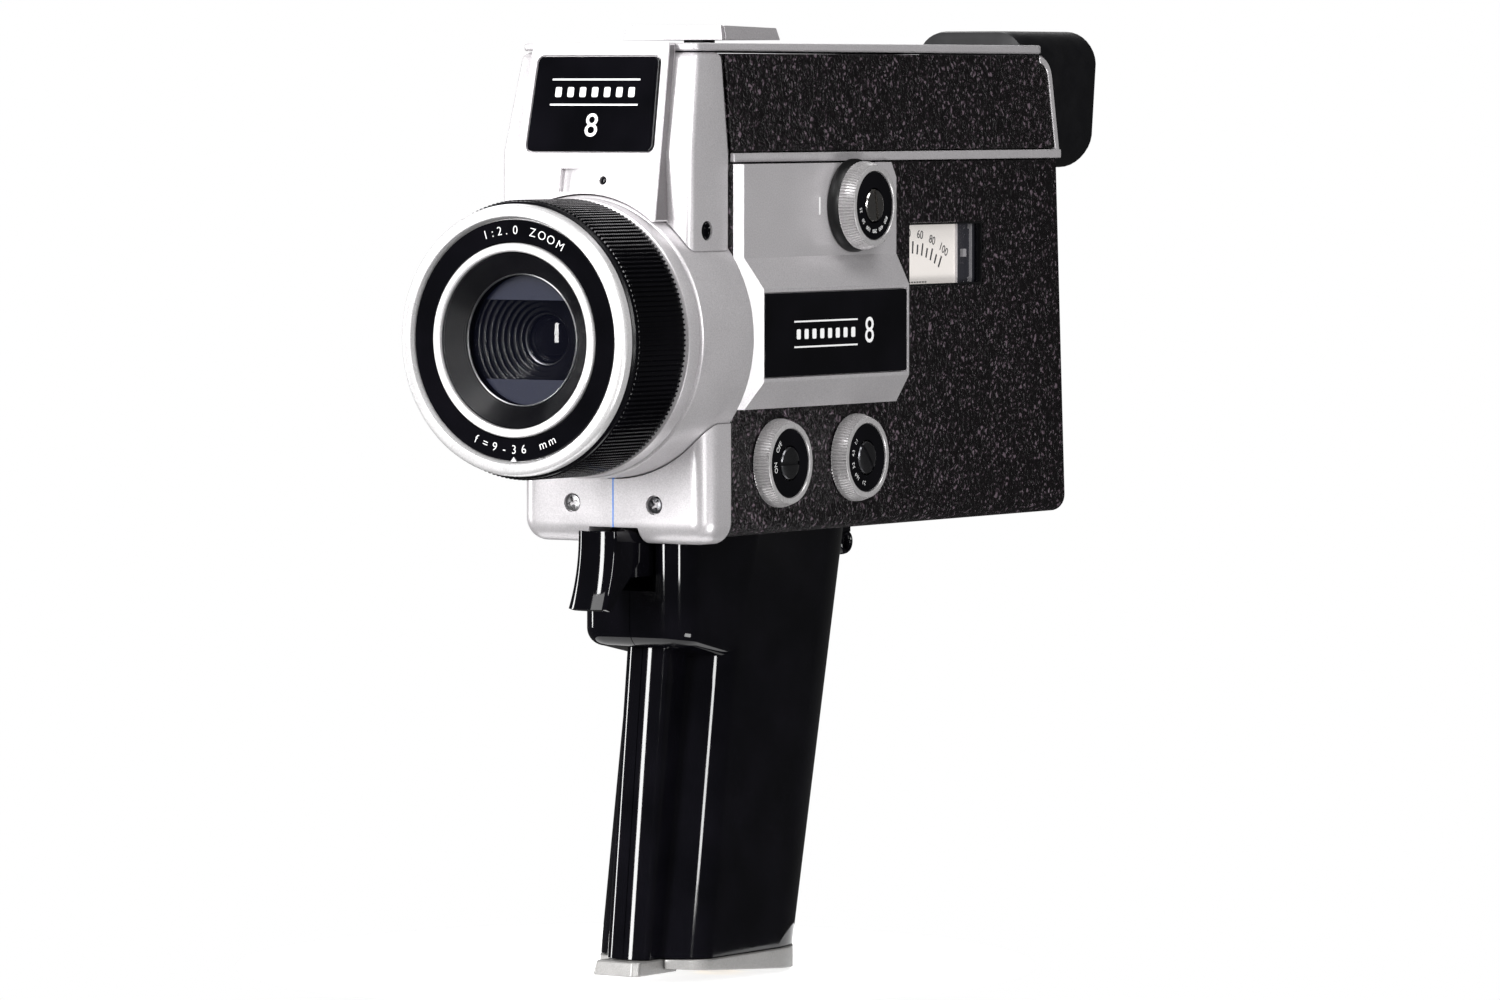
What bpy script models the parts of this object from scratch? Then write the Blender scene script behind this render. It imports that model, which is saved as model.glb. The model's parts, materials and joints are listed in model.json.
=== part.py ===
"""Pistol-grip cine camera with a knurled zoom ring, three side dials and a meter window.

Frame: +Z up, the lens looks along -Y, +X is the dial side. The origin lies on the underside
of the grip's base. All named sizes are in millimetres, and the helpers turn them into metres.
"""
import math

import bmesh
import bpy
from mathutils import Matrix, Vector

MM = 0.001

# ---------------------------------------------------------------- driving dimensions (mm)
GAP = 0.3                   # clearance that touching pieces keep
WALL = 2.0                  # wall thickness of the moulded shells

BODY_HALF = 25.0            # half width of the body below the trim rail
BODY_TOP_HALF = 23.0        # half width at the top edge
BODY_FRONT = -16.7          # front face of the two main shells
BODY_BOTTOM = 96.8
SHELL_TOP = 202.6           # top of the shells, under the top cover
COVER_TOP = 204.9           # top of the top cover
REAR_BOTTOM = 125.6         # rear face at the bottom of the body
REAR_SLOPE = 0.055          # how far the rear face leans forward per mm of height
RAIL_LOW, RAIL_HIGH = 178.9, 180.9
TAPER_START = 181.0         # above this height the sides lean in
SKIN = 0.7                  # thickness of the upper leatherette panels
RECESS = SKIN + GAP

LENS_Z = 140.8              # height of the lens axis
DRUM_R, TUBE_R = 31.0, 26.2
LENS_FRONT = -65.1
BEZEL_BACK = -62.3
ZOOM_BACK = -42.1
RING_BACK = -37.6
DRUM_FRONT = -37.2

HOUSING_LOW = 158.4         # underside of the upper front housing
HOUSING_TOP = SHELL_TOP + GAP
FRONT_COVER_Y = -26.0       # face of the lower front cover
FRONT_COVER_LOW = 95.4

GRIP_TOP = 96.4
GRIP_LOW = 3.5
BLOCK_HALF = 14.4           # the block that carries the trigger
BLOCK_FRONT = -19.5
BLOCK_ROUND = 6.5           # the block's corner and lower edge radius
TRIPOD_Y = 16.0
BASE_SLOPE = 0.07           # how far the rear base cap's underside falls per mm towards the rear
RIB_HALF = 5.5

DIAL_R = 9.8
DIAL_HEIGHT = 3.7
FACE_R = 7.6
SCREW_R = 3.6
SIDE_COVER_FACE = 27.2      # upper face of the side cover
PLATE_FACE = 30.6           # face of the raised part that holds the side plate
FILTER_DIAL = (29.8, 28.8, 169.0)
POWER_DIAL = (BODY_HALF + GAP, 1.1, 112.6)
RATIO_DIAL = (BODY_HALF + GAP, 32.8, 112.7)

WINDOW_Y = (56.5, 88.5)
WINDOW_Z = (150.3, 164.7)
NEEDLE_PIVOT = (22.45, 61.0, 131.5)
NEEDLE_REST = math.radians(-22)

EYECUP_HALF = 14.8
EYECUP_Z = (176.4, 208.3)
EYECUP_Y = (123.5, 156.7)
EYE_Z = 191.4

ROCKER_Y = (-2.2, 21.5)
ROCKER_HALF = 13.0
ROCKER_LOW, ROCKER_TOP = 205.7, 208.9
TRIGGER_HALF = 5.05
PANEL_TOP_Y = -30.5         # the front panel's leaning face, at the cover's top
PANEL_SLOPE = 0.2027        # how far that face leans forward per mm down
PLATE_MID = 191.6           # middle height of the plate on the front panel

LARGE_ROUND = 36            # facets around the lens pieces
SMALL_ROUND = 24            # facets around the dials and other small turned pieces
SCREW_ROUND = 14


# ---------------------------------------------------------------- scene helpers
def clear_scene():
    for obj in list(bpy.data.objects):
        bpy.data.objects.remove(obj, do_unlink=True)


def new_collection(name):
    collection = bpy.data.collections.new(name)
    bpy.context.scene.collection.children.link(collection)
    return collection


def make_material(name, color, roughness, metallic=0.0):
    material = bpy.data.materials.new(name)
    material.use_nodes = True
    shader = material.node_tree.nodes["Principled BSDF"]
    shader.inputs["Base Color"].default_value = (*color, 1.0)
    shader.inputs["Roughness"].default_value = roughness
    shader.inputs["Metallic"].default_value = metallic
    return material


clear_scene()
PARTS = new_collection("cine_camera")
CUTTERS = new_collection("cutters")
SILVER = make_material("silver_paint", (0.72, 0.71, 0.72), 0.38, 0.6)
GLOSS = make_material("gloss_black", (0.012, 0.012, 0.014), 0.08)
LEATHER = make_material("leatherette", (0.035, 0.028, 0.030), 0.55)
RUBBER = make_material("black_rubber", (0.014, 0.014, 0.018), 0.75)
MATTE = make_material("matte_black", (0.02, 0.02, 0.02), 0.5)
CHROME = make_material("chrome", (0.8, 0.8, 0.8), 0.15, 1.0)
STEEL = make_material("steel", (0.5, 0.5, 0.5), 0.35, 1.0)
BRASS = make_material("brass", (0.75, 0.55, 0.25), 0.35, 1.0)
GLASS = make_material("glass", (0.25, 0.3, 0.4), 0.03)
CARD = make_material("meter_card", (0.85, 0.82, 0.78), 0.6)
BOARD = make_material("circuit_board", (0.03, 0.12, 0.06), 0.5)
CELL = make_material("battery_wrap", (0.1, 0.18, 0.4), 0.4)


def finish(name, bm, material, matrix=None, cutter=False):
    """Make an object from a bmesh whose points are in millimetres."""
    bmesh.ops.recalc_face_normals(bm, faces=bm.faces)
    bmesh.ops.scale(bm, vec=(MM, MM, MM), verts=bm.verts)
    mesh = bpy.data.meshes.new(name)
    bm.to_mesh(mesh)
    bm.free()
    obj = bpy.data.objects.new(name, mesh)
    if material is not None:
        mesh.materials.append(material)
    (CUTTERS if cutter else PARTS).objects.link(obj)
    if cutter:
        obj.hide_render = True
        obj.display_type = "WIRE"
    if matrix is not None:
        obj.matrix_world = matrix
    return obj


def smooth(obj, angle=35):
    obj.data.shade_smooth()
    obj.data.set_sharp_from_angle(angle=math.radians(angle))
    return obj


def bevel(obj, width, segments=2, angle=40):
    mod = obj.modifiers.new("Bevel", "BEVEL")
    mod.width = width * MM
    mod.segments = segments
    mod.limit_method = "ANGLE"
    mod.angle_limit = math.radians(angle)
    return obj


def boolean(obj, other, operation="DIFFERENCE", solver="EXACT"):
    mod = obj.modifiers.new(operation.title(), "BOOLEAN")
    mod.operation = operation
    mod.solver = solver
    mod.object = other
    return obj


def cut(obj, *others, solver="EXACT"):
    for other in others:
        boolean(obj, other, solver=solver)
    return obj


# ---------------------------------------------------------------- shape helpers
# Local axes of a flat outline: x and y lie in the outline, z is its thickness direction.
FACING = {
    "side": Matrix(((0, 0, 1, 0), (1, 0, 0, 0), (0, 1, 0, 0), (0, 0, 0, 1))),     # (Y, Z), faces +X
    "front": Matrix(((1, 0, 0, 0), (0, 0, -1, 0), (0, 1, 0, 0), (0, 0, 0, 1))),   # (X, Z), faces -Y
    "top": Matrix.Identity(4),                                                    # (X, Y), faces +Z
}
# Turned pieces: local z is the axis.
AXIS = {
    "front": Matrix.Rotation(math.radians(90), 4, "X"),      # local z points along -Y
    "rear": Matrix.Rotation(math.radians(-90), 4, "X"),      # local z points along +Y
    "side": Matrix.Rotation(math.radians(90), 4, "Y"),       # local z points along +X
    "left": Matrix.Rotation(math.radians(-90), 4, "Y"),      # local z points along -X
    "up": Matrix.Identity(4),
    "down": Matrix.Rotation(math.radians(180), 4, "X"),
}


def place(centre, axis="up"):
    return Matrix.Translation(Vector(centre) * MM) @ AXIS[axis]


def box(name, low, high, material=None, cutter=False):
    bm = bmesh.new()
    bmesh.ops.create_cube(bm, size=1.0)
    low, high = Vector(low), Vector(high)
    for vert in bm.verts:
        vert.co = Vector([low[i] + (high[i] - low[i]) * (vert.co[i] + 0.5) for i in range(3)])
    return finish(name, bm, material, cutter=cutter)


def rod(name, centre, axis, radius, length, material=None, segments=24, cutter=False, tip=None):
    """A cylinder or cone that starts at centre and runs along the axis."""
    bm = bmesh.new()
    bmesh.ops.create_cone(bm, cap_ends=True, segments=segments, radius1=radius,
                          radius2=radius if tip is None else tip, depth=length)
    bmesh.ops.translate(bm, vec=(0, 0, length / 2), verts=bm.verts)
    return smooth(finish(name, bm, material, place(centre, axis), cutter))


def turned(name, centre, axis, profile, material, steps=LARGE_ROUND, closed=True, cutter=False):
    """Turn a profile of (radius, height) points; it runs down the outer side first."""
    bm = bmesh.new()
    verts = [bm.verts.new((radius, 0, height)) for radius, height in profile]
    for first, second in zip(verts, verts[1:]):
        bm.edges.new((first, second))
    if closed:
        bm.edges.new((verts[-1], verts[0]))
    obj = finish(name, bm, material, place(centre, axis), cutter)
    screw = obj.modifiers.new("Screw", "SCREW")
    screw.steps = steps
    screw.render_steps = steps
    screw.use_merge_vertices = True
    screw.merge_threshold = 0.00002
    screw.use_smooth_shade = True
    return obj


def ring(name, centre, axis, outer, inner, low, high, material, steps=LARGE_ROUND, chamfer=0.0):
    profile = [(outer - chamfer, high), (outer, high - chamfer), (outer, low), (inner, low), (inner, high)]
    if chamfer == 0.0:
        profile = profile[1:]
    return turned(name, centre, axis, profile, material, steps)


def rounded(points, radii, steps=4):
    """An outline with its corners rounded by arcs; radii is one number or one per corner."""
    if not isinstance(radii, (list, tuple)):
        radii = [radii] * len(points)
    outline = []
    for index, corner in enumerate(points):
        radius = radii[index]
        corner = Vector(corner)
        if radius == 0:
            outline.append(tuple(corner))
            continue
        before = (Vector(points[index - 1]) - corner).normalized()
        after = (Vector(points[(index + 1) % len(points)]) - corner).normalized()
        half = before.angle(after) / 2
        centre = corner + (before + after).normalized() * radius / math.sin(half)
        start = corner + before * radius / math.tan(half) - centre
        end = corner + after * radius / math.tan(half) - centre
        sweep = start.angle_signed(end)
        for step in range(steps + 1):
            turn = -sweep * step / steps
            cos, sin = math.cos(turn), math.sin(turn)
            outline.append((centre.x + start.x * cos - start.y * sin,
                            centre.y + start.x * sin + start.y * cos))
    return outline


def plate(name, facing, outline, level, thickness, material=None, cutter=False, holes=()):
    """A flat outline made as a filled 2D curve; it starts at level and grows along its facing."""
    curve = bpy.data.curves.new(name + "_outline", "CURVE")
    curve.dimensions = "2D"
    curve.fill_mode = "BOTH"
    curve.extrude = thickness / 2 * MM
    for points in (outline, *holes):
        spline = curve.splines.new("POLY")
        spline.points.add(len(points) - 1)
        for point, (x, y) in zip(spline.points, points):
            point.co = (x * MM, y * MM, 0, 1)
        spline.use_cyclic_u = True
    guide = bpy.data.objects.new(name + "_outline", curve)
    PARTS.objects.link(guide)
    bpy.context.view_layer.update()
    mesh = bpy.data.meshes.new_from_object(guide.evaluated_get(bpy.context.evaluated_depsgraph_get()))
    bpy.data.objects.remove(guide, do_unlink=True)
    bm = bmesh.new()
    bm.from_mesh(mesh)
    bpy.data.meshes.remove(mesh)
    bmesh.ops.remove_doubles(bm, verts=bm.verts, dist=0.000002)
    bmesh.ops.translate(bm, vec=(0, 0, (level + thickness / 2) * MM), verts=bm.verts)
    bmesh.ops.transform(bm, matrix=FACING[facing], verts=bm.verts)
    bmesh.ops.scale(bm, vec=(1 / MM, 1 / MM, 1 / MM), verts=bm.verts)
    return finish(name, bm, material, cutter=cutter)


def reshape(obj, rule):
    """Move every point of the mesh by a rule that takes and gives millimetres."""
    for vert in obj.data.vertices:
        vert.co = Vector(rule(*(vert.co / MM))) * MM
    return obj


def split_level(obj, height):
    """Add an edge loop at a height, so that the sides can bend there."""
    bm = bmesh.new()
    bm.from_mesh(obj.data)
    geometry = bm.verts[:] + bm.edges[:] + bm.faces[:]
    bmesh.ops.bisect_plane(bm, geom=geometry, dist=0.000002, plane_co=(0, 0, height * MM), plane_no=(0, 0, 1))
    bmesh.ops.remove_doubles(bm, verts=bm.verts, dist=0.000002)
    bm.to_mesh(obj.data)
    bm.free()
    return obj


def loft(name, low, high, material=None, cutter=False):
    """Bridge two outlines of equally many points, each given as a list of (x, y, z)."""
    bm = bmesh.new()
    loops = []
    for section in (low, high):
        verts = [bm.verts.new(point) for point in section]
        loops += [bm.edges.new((verts[i - 1], verts[i])) for i in range(len(verts))]
        bm.faces.new(verts)
    bmesh.ops.bridge_loops(bm, edges=loops)
    return smooth(finish(name, bm, material, cutter=cutter))


def body_half_at(height):
    """Half width of the body's outer side at a height."""
    if height <= TAPER_START:
        return BODY_HALF
    return BODY_HALF - (height - TAPER_START) * (BODY_HALF - BODY_TOP_HALF) / (COVER_TOP - TAPER_START)


def rear_at(height):
    """Y of the rear face at a height."""
    return REAR_BOTTOM - (height - BODY_BOTTOM) * REAR_SLOPE


# ---------------------------------------------------------------- shared cutters
HALF_SPACE = {side: box(f"half_space_{side}", (GAP / 2 if side == "right" else -90, -150, -20),
                        (90 if side == "right" else -GAP / 2, 200, 260), cutter=True)
              for side in ("left", "right")}
DRUM_SPACE = rod("drum_space", (0, 40, LENS_Z), "front", DRUM_R + GAP, 120, segments=40, cutter=True)


# ---------------------------------------------------------------- main shells and their skins
def body_solid(name, inset, cutter=False):
    """The body's block: stepped in above the rail for the trim and the upper leatherette."""
    low, step = BODY_BOTTOM + inset, RAIL_LOW - GAP
    wide = BODY_HALF - inset
    upper = BODY_HALF - RECESS - inset
    top = SHELL_TOP - inset
    top_half = body_half_at(SHELL_TOP) - RECESS - inset
    right = [(wide, low), (wide, step), (upper, step), (upper, TAPER_START), (top_half, top)]
    outline = rounded(right + [(-x, z) for x, z in reversed(right)],
                      [max(4.0 - inset, 1)] + [0] * 8 + [max(4.0 - inset, 1)])
    front = -(BODY_FRONT + inset)
    obj = plate(name, "front", outline, -REAR_BOTTOM, REAR_BOTTOM + front, LEATHER, cutter)
    middle = 40
    return reshape(obj, lambda x, y, z: (x, y if y < middle else rear_at(z) - inset, z))


def main_shells():
    hollow = body_solid("body_hollow", WALL, cutter=True)
    window = box("window_cut", (20, WINDOW_Y[0], WINDOW_Z[0]), (27, WINDOW_Y[1], WINDOW_Z[1]), cutter=True)
    lens_hole = rod("lens_hole", (0, -10, LENS_Z), "front", 21.0, 12, segments=40, cutter=True)
    rocker_hole = box("rocker_hole", (-4.2, 4.3, 195), (4.2, 12.7, 206), cutter=True)
    eye_hole = rod("eye_hole", (0, 112, EYE_Z), "rear", 8.3, 20, cutter=True)
    shafts = [rod(f"shaft_hole_{i}", (18, *dial[1:]), "side", 2.6, 12, segments=16, cutter=True)
              for i, dial in enumerate((FILTER_DIAL, POWER_DIAL, RATIO_DIAL))]
    for side in ("left", "right"):
        shell = bevel(body_solid(f"main_shell_{side}", 0), 1.5, 2, 60)
        cut(shell, hollow, lens_hole, rocker_hole, eye_hole)
        boolean(shell, HALF_SPACE[side], "INTERSECT")
        if side == "right":
            cut(shell, window, *shafts)


def upper_panels():
    """Leatherette panels and bright trim on the leaning upper sides."""
    front = BODY_FRONT + GAP
    low, high = RAIL_HIGH + GAP, SHELL_TOP
    for side, sign in (("left", -1), ("right", 1)):
        outline = [(front, low), (rear_at(low) - 0.5, low), (rear_at(high) - 0.5, high), (front, high)]
        skin = plate(f"upper_leather_{side}", "side", rounded(outline, [0.5, 0.5, 3, 0.5]), 0, SKIN, LEATHER)
        reshape(skin, lambda x, y, z: (sign * (body_half_at(z) - SKIN + x), y, z))
        flip_if_left(skin, sign)
        rail = box(f"side_trim_{side}", (BODY_HALF - SKIN, front, RAIL_LOW),
                   (BODY_HALF + 0.5, rear_at(RAIL_LOW) + 1.5, RAIL_HIGH), SILVER)
        upright = box(f"trim_upright_{side}", (19.5, 0, RAIL_LOW), (1, 1, SHELL_TOP), cutter=True)
        reshape(upright, lambda x, y, z: (19.5 if x > 10 else body_half_at(z) + 0.2,
                                          rear_at(z) + (1.4 if y > 0.5 else GAP), z))
        for piece in (rail, upright):
            reshape(piece, lambda x, y, z: (sign * x, y, z))
            flip_if_left(piece, sign)
        boolean(bevel(rail, 0.4, 1), upright, "UNION")


def flip_if_left(obj, sign):
    if sign < 0:
        obj.data.flip_normals()


def top_cover():
    front, low = -27.6, SHELL_TOP + GAP
    outline = [(-BODY_TOP_HALF, front), (BODY_TOP_HALF, front),
               (BODY_TOP_HALF, rear_at(COVER_TOP) + 1.2), (-BODY_TOP_HALF, rear_at(COVER_TOP) + 1.2)]
    obj = plate("top_cover", "top", rounded(outline, [2, 2, 3, 3]), low, COVER_TOP - low, SILVER)
    reshape(obj, lambda x, y, z: (x, y, z + (GAP if y < -20 and z < low + 0.1 else 0)))
    cut(bevel(obj, 0.5, 1, 60), box("rocker_hole_top", (-4.2, 4.3, 195), (4.2, 12.7, 207), cutter=True))


def rear_panel():
    """Closes the upper back between the two trim uprights and carries the eyepiece."""
    low, high = RAIL_LOW + 1, SHELL_TOP
    obj = box("rear_panel", (-19.2, 0, low), (19.2, 1, high), MATTE)
    reshape(obj, lambda x, y, z: (x, rear_at(z) + (1.2 if y > 0.5 else GAP), z))
    cut(obj, rod("eye_hole_panel", (0, 112, EYE_Z), "rear", 8.3, 20, cutter=True))


# ---------------------------------------------------------------- front covers
def front_housing():
    outline = [(BODY_FRONT - GAP, HOUSING_LOW), (BODY_FRONT - GAP, HOUSING_TOP),
               (-27.8, HOUSING_TOP), (-32.7, TAPER_START), (-32.9, HOUSING_LOW)]
    obj = plate("front_housing", "side", outline, -BODY_HALF, 2 * BODY_HALF, SILVER)
    split_level(obj, TAPER_START)
    reshape(obj, lambda x, y, z: (math.copysign(body_half_at(z), x), y, z))
    bevel(obj, 1.4, 3, 60)
    hollow = box("housing_hollow", (-20.5, -24.5, HOUSING_LOW + 2), (20.5, -10, 198), cutter=True)
    sight = rod("sight_hole_cut", (22.0, -26.5, 164.1), "side", 2.1, 5, segments=16, cutter=True)
    cut(obj, hollow, DRUM_SPACE, sight)


def front_panel():
    """The raised wedge that carries the front plate; its foot is arched over the lens drum."""
    radius = DRUM_R + GAP
    foot = 166.2
    start = math.asin((foot - LENS_Z) / radius)
    arch = []
    for step in range(13):
        angle = math.pi - start - (math.pi - 2 * start) * step / 12
        arch.append((radius * math.cos(angle), LENS_Z + radius * math.sin(angle)))
    outline = [(17.8, COVER_TOP), (-17.8, COVER_TOP), (-19.15, foot)] + arch + [(19.15, foot)]
    obj = plate("front_panel", "front", outline, 0, 1, SILVER)
    split_level(obj, TAPER_START)
    split_level(obj, HOUSING_TOP + GAP)
    reshape(obj, lambda x, y, z: (x, panel_face(z) if y < -0.5 else panel_back(z), z))
    pocket = plate("plate_pocket", "front", front_plate_outline(0.25), 0, 3, cutter=True)
    shadow = box("recess_pocket", (-6.8, -1, -2.6), (-1.6, 0.9, 2.6), cutter=True)
    shadow.matrix_world = on_panel(175.0)
    pin_hole = rod("pin_hole_cut", (0, 0, 0), "front", 0.9, 3, segments=16, cutter=True)
    pin_hole.matrix_world = on_panel(175.0) @ place((4.5, 1.5, 0), "front")
    cut(obj, pocket, shadow, pin_hole)
    name_plate = plate("front_plate", "front", front_plate_outline(0), -0.55, 0.75, GLOSS)
    name_plate.matrix_world = on_panel(PLATE_MID)
    pocket.matrix_world = on_panel(PLATE_MID) @ Matrix.Translation((0, 0.85 * MM, 0))


def panel_face(height):
    """Y of the front panel's leaning face."""
    return PANEL_TOP_Y - (COVER_TOP - height) * PANEL_SLOPE


def panel_back(height):
    """Y of the front panel's back, which follows the housing behind it."""
    if height >= HOUSING_TOP + GAP - 0.01:
        return -28.2
    if height >= TAPER_START:
        return -28.2 - 4.85 * (HOUSING_TOP + GAP - height) / (HOUSING_TOP + GAP - TAPER_START)
    return -33.05 - (TAPER_START - height) * 0.01


def front_plate_outline(grow):
    top, low = 10.6 + grow, -10.6 - grow
    wide, narrow = 16.7 + grow, 16.0 + grow
    return rounded([(-wide, low), (wide, low), (narrow, top), (-narrow, top)], 1.6 + grow, 3)


def on_panel(height):
    """A frame on the front panel's face: local -Y points out of the leaning face."""
    lean = Matrix.Rotation(-math.atan(PANEL_SLOPE), 4, "X")
    return Matrix.Translation(Vector((0, panel_face(height), height)) * MM) @ lean


def lower_front_cover():
    obj = box("lower_front_cover", (-BODY_HALF, FRONT_COVER_Y, FRONT_COVER_LOW), (BODY_HALF, 0, 150), SILVER)
    bevel(obj, 5.2, 5, 60)
    keep = box("lower_cover_keep", (-30, -30, 90), (30, BODY_FRONT - GAP, 124), cutter=True)
    boolean(obj, keep, "INTERSECT")
    notch = plate("trigger_notch", "front", [(-7.6, 90), (7.6, 90), (6.4, 98.9), (-6.4, 98.9)], 10, 30,
                  cutter=True)
    hollow = box("lower_cover_hollow", (-22, FRONT_COVER_Y + 2.5, 100.5), (22, -10, 123), cutter=True)
    cut(obj, notch, hollow, DRUM_SPACE)
    for side, sign in (("left", -1), ("right", 1)):
        x = sign * 10.8
        cut(obj, rod(f"front_screw_seat_{side}", (x, FRONT_COVER_Y + 1.0, 104), "front", 2.1, 3,
                     segments=20, cutter=True),
            rod(f"front_screw_bore_{side}", (x, -20, 104), "front", 1.2, 8, segments=12, cutter=True))
        cross_screw(f"front_screw_{side}", (x, FRONT_COVER_Y + 0.95, 104), "front", 1.75, 0.8, 6.5)


def cross_screw(name, centre, axis, radius, head, shank):
    """A pan-head screw with a cross recess; the head grows outwards from centre."""
    profile = [(0, head), (radius * 0.75, head * 0.95), (radius, head * 0.45), (radius, GAP / 2),
               (radius * 0.5, GAP / 2), (radius * 0.5, GAP / 2 - shank), (0, GAP / 2 - shank)]
    screw = turned(name, centre, axis, profile, STEEL, SCREW_ROUND, closed=False)
    arm, half = radius * 0.62, radius * 0.16
    for index, (wide, tall) in enumerate(((arm, half), (half, arm))):
        slot = box(f"{name}_cross_{index}", (-wide, -tall, head * 0.4), (wide, tall, head + 1), cutter=True)
        slot.matrix_world = place(centre, axis)
        cut(screw, slot)


# ---------------------------------------------------------------- lens
def lens():
    axis_point = (0, 0, LENS_Z)
    depth = -BODY_FRONT + GAP           # heights along the lens axis are measured forward from Y = 0
    turned("lens_drum", axis_point, "front",
           [(30.1, -ZOOM_BACK - GAP), (30.5, -ZOOM_BACK - GAP - 0.4), (30.5, -RING_BACK), (29.6, -RING_BACK),
            (29.6, -DRUM_FRONT), (DRUM_R - 0.9, -DRUM_FRONT), (DRUM_R, -DRUM_FRONT - 0.9), (DRUM_R, depth),
            (TUBE_R + GAP, depth), (TUBE_R + GAP, -ZOOM_BACK - GAP)], SILVER)
    ring("lens_tube", axis_point, "front", TUBE_R, 23.5, depth, -BEZEL_BACK - GAP, MATTE)
    ring("zoom_ring", axis_point, "front", 30.3, TUBE_R + GAP, -ZOOM_BACK, -BEZEL_BACK - GAP, MATTE,
         chamfer=0.5)
    back = -BEZEL_BACK
    front = -LENS_FRONT
    turned("front_bezel", axis_point, "front",
           [(26.6, front), (28.4, front), (29.4, front - 1.2), (29.4, back), (23.0, back), (23.0, back + 0.9),
            (26.3, back + 0.9)], SILVER)
    ring("lens_name_ring", axis_point, "front", 26.0, 21.3, back + 1.2, back + 1.9, GLOSS)
    ring("lens_inner_ring", axis_point, "front", 21.0, 19.1, back + 0.9, back + 2.5, SILVER, chamfer=0.3)
    turned("lens_cone", axis_point, "front",
           [(18.8, back + 1.9), (18.8, back + 0.5), (22.7, back + 0.5),
            (22.7, back - 1.8), (14.2, back - 1.8)],
           MATTE)
    turned("front_glass", axis_point, "front",
           [(0, back - 2.0), (8, back - 2.1), (15.4, back - 2.5), (15.4, back - 3.4), (0, back - 3.4)],
           GLASS, closed=False)
    baffle = ring("lens_baffle", axis_point, "front", 23.2, 5.6, 50.3, back - 3.7, MATTE)
    throat = loft("baffle_throat", frame_section(5.0, 4.6, 50.2),
                  frame_section(14.0, 10.0, 60.0), cutter=True)
    cut(baffle, throat)
    turned("inner_lens", axis_point, "front", [(0, 51.4), (3, 51.1), (5.2, 50.2), (5.2, 48.6), (0, 48.6)],
           GLASS, SMALL_ROUND, closed=False)
    turned("lens_barrel", axis_point, "front",
           [(7.0, 50.0), (7.0, 42.0), (10.0, 42.0), (10.0, 38.2), (4.4, 38.2), (4.4, 48.3), (5.5, 48.3),
            (5.5, 50.0)], MATTE, SMALL_ROUND)
    board = box("sensor_board", (-14, -36.6, LENS_Z - 14), (14, -35.2, LENS_Z + 14), BOARD)
    chip = box("image_sensor", (-3.6, -37.9, LENS_Z - 3), (3.6, -36.0, LENS_Z + 3), cutter=True)
    boolean(board, chip, "UNION")


def frame_section(half_x, half_z, forward):
    """A rectangle with rounded corners across the lens axis, at a distance forward of Y = 0."""
    corners = [(-half_x, -half_z), (half_x, -half_z), (half_x, half_z), (-half_x, half_z)]
    return [(x, -forward, LENS_Z + z) for x, z in rounded(corners, min(half_x, half_z) * 0.45, 4)]


# ---------------------------------------------------------------- side cover, dials and meter
def side_cover():
    inner, low, high = BODY_HALF + GAP, 124.8, 178.5
    profile = [(inner, low), (SIDE_COVER_FACE, low), (PLATE_FACE, 130.8), (PLATE_FACE, 151.2),
               (SIDE_COVER_FACE, 158.0), (SIDE_COVER_FACE, high), (inner, high)]
    rear, front = 47.6, BODY_FRONT + 0.1
    obj = plate("side_cover", "front", profile, -rear, rear - front, SILVER)
    bevel(obj, 0.3, 1)
    beyond = PLATE_FACE + 2
    run = 4.3 * (beyond - inner) / (PLATE_FACE - inner)
    slant = plate("side_cover_slant", "top", [(inner, front), (inner, front - 1), (beyond, front - 1),
                                              (beyond, front + run)], 100, 100, cutter=True)
    corner = plate("side_cover_corner", "side", [(44.6, 180), (48.5, 180), (48.5, 173.6)], 20, 20,
                   cutter=True)
    pocket = box("side_plate_pocket", (PLATE_FACE - 0.6, -12.2, 131.6), (40, 46.8, 150.4), cutter=True)
    hollow = box("side_cover_pocket", (20, -8, 129.5), (28.6, 44.5, 152.5), cutter=True)
    shaft = rod("side_cover_bore", (20, *FILTER_DIAL[1:]), "side", 2.6, 14, segments=16, cutter=True)
    cut(obj, slant, corner, pocket, hollow, shaft)
    plate_outline = rounded([(-11.9, 131.9), (46.5, 131.9), (46.5, 150.1), (-11.9, 150.1)], 0.8, 3)
    plate("side_plate", "side", plate_outline, PLATE_FACE - GAP, GAP + 0.1, GLOSS)
    turned("filter_dial_seat", (SIDE_COVER_FACE + GAP, *FILTER_DIAL[1:]), "side",
           [(9.4, 2.0), (10.4, 0.9), (10.4, 0), (2.6, 0), (2.6, 2.0)], RUBBER, SMALL_ROUND)


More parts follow.
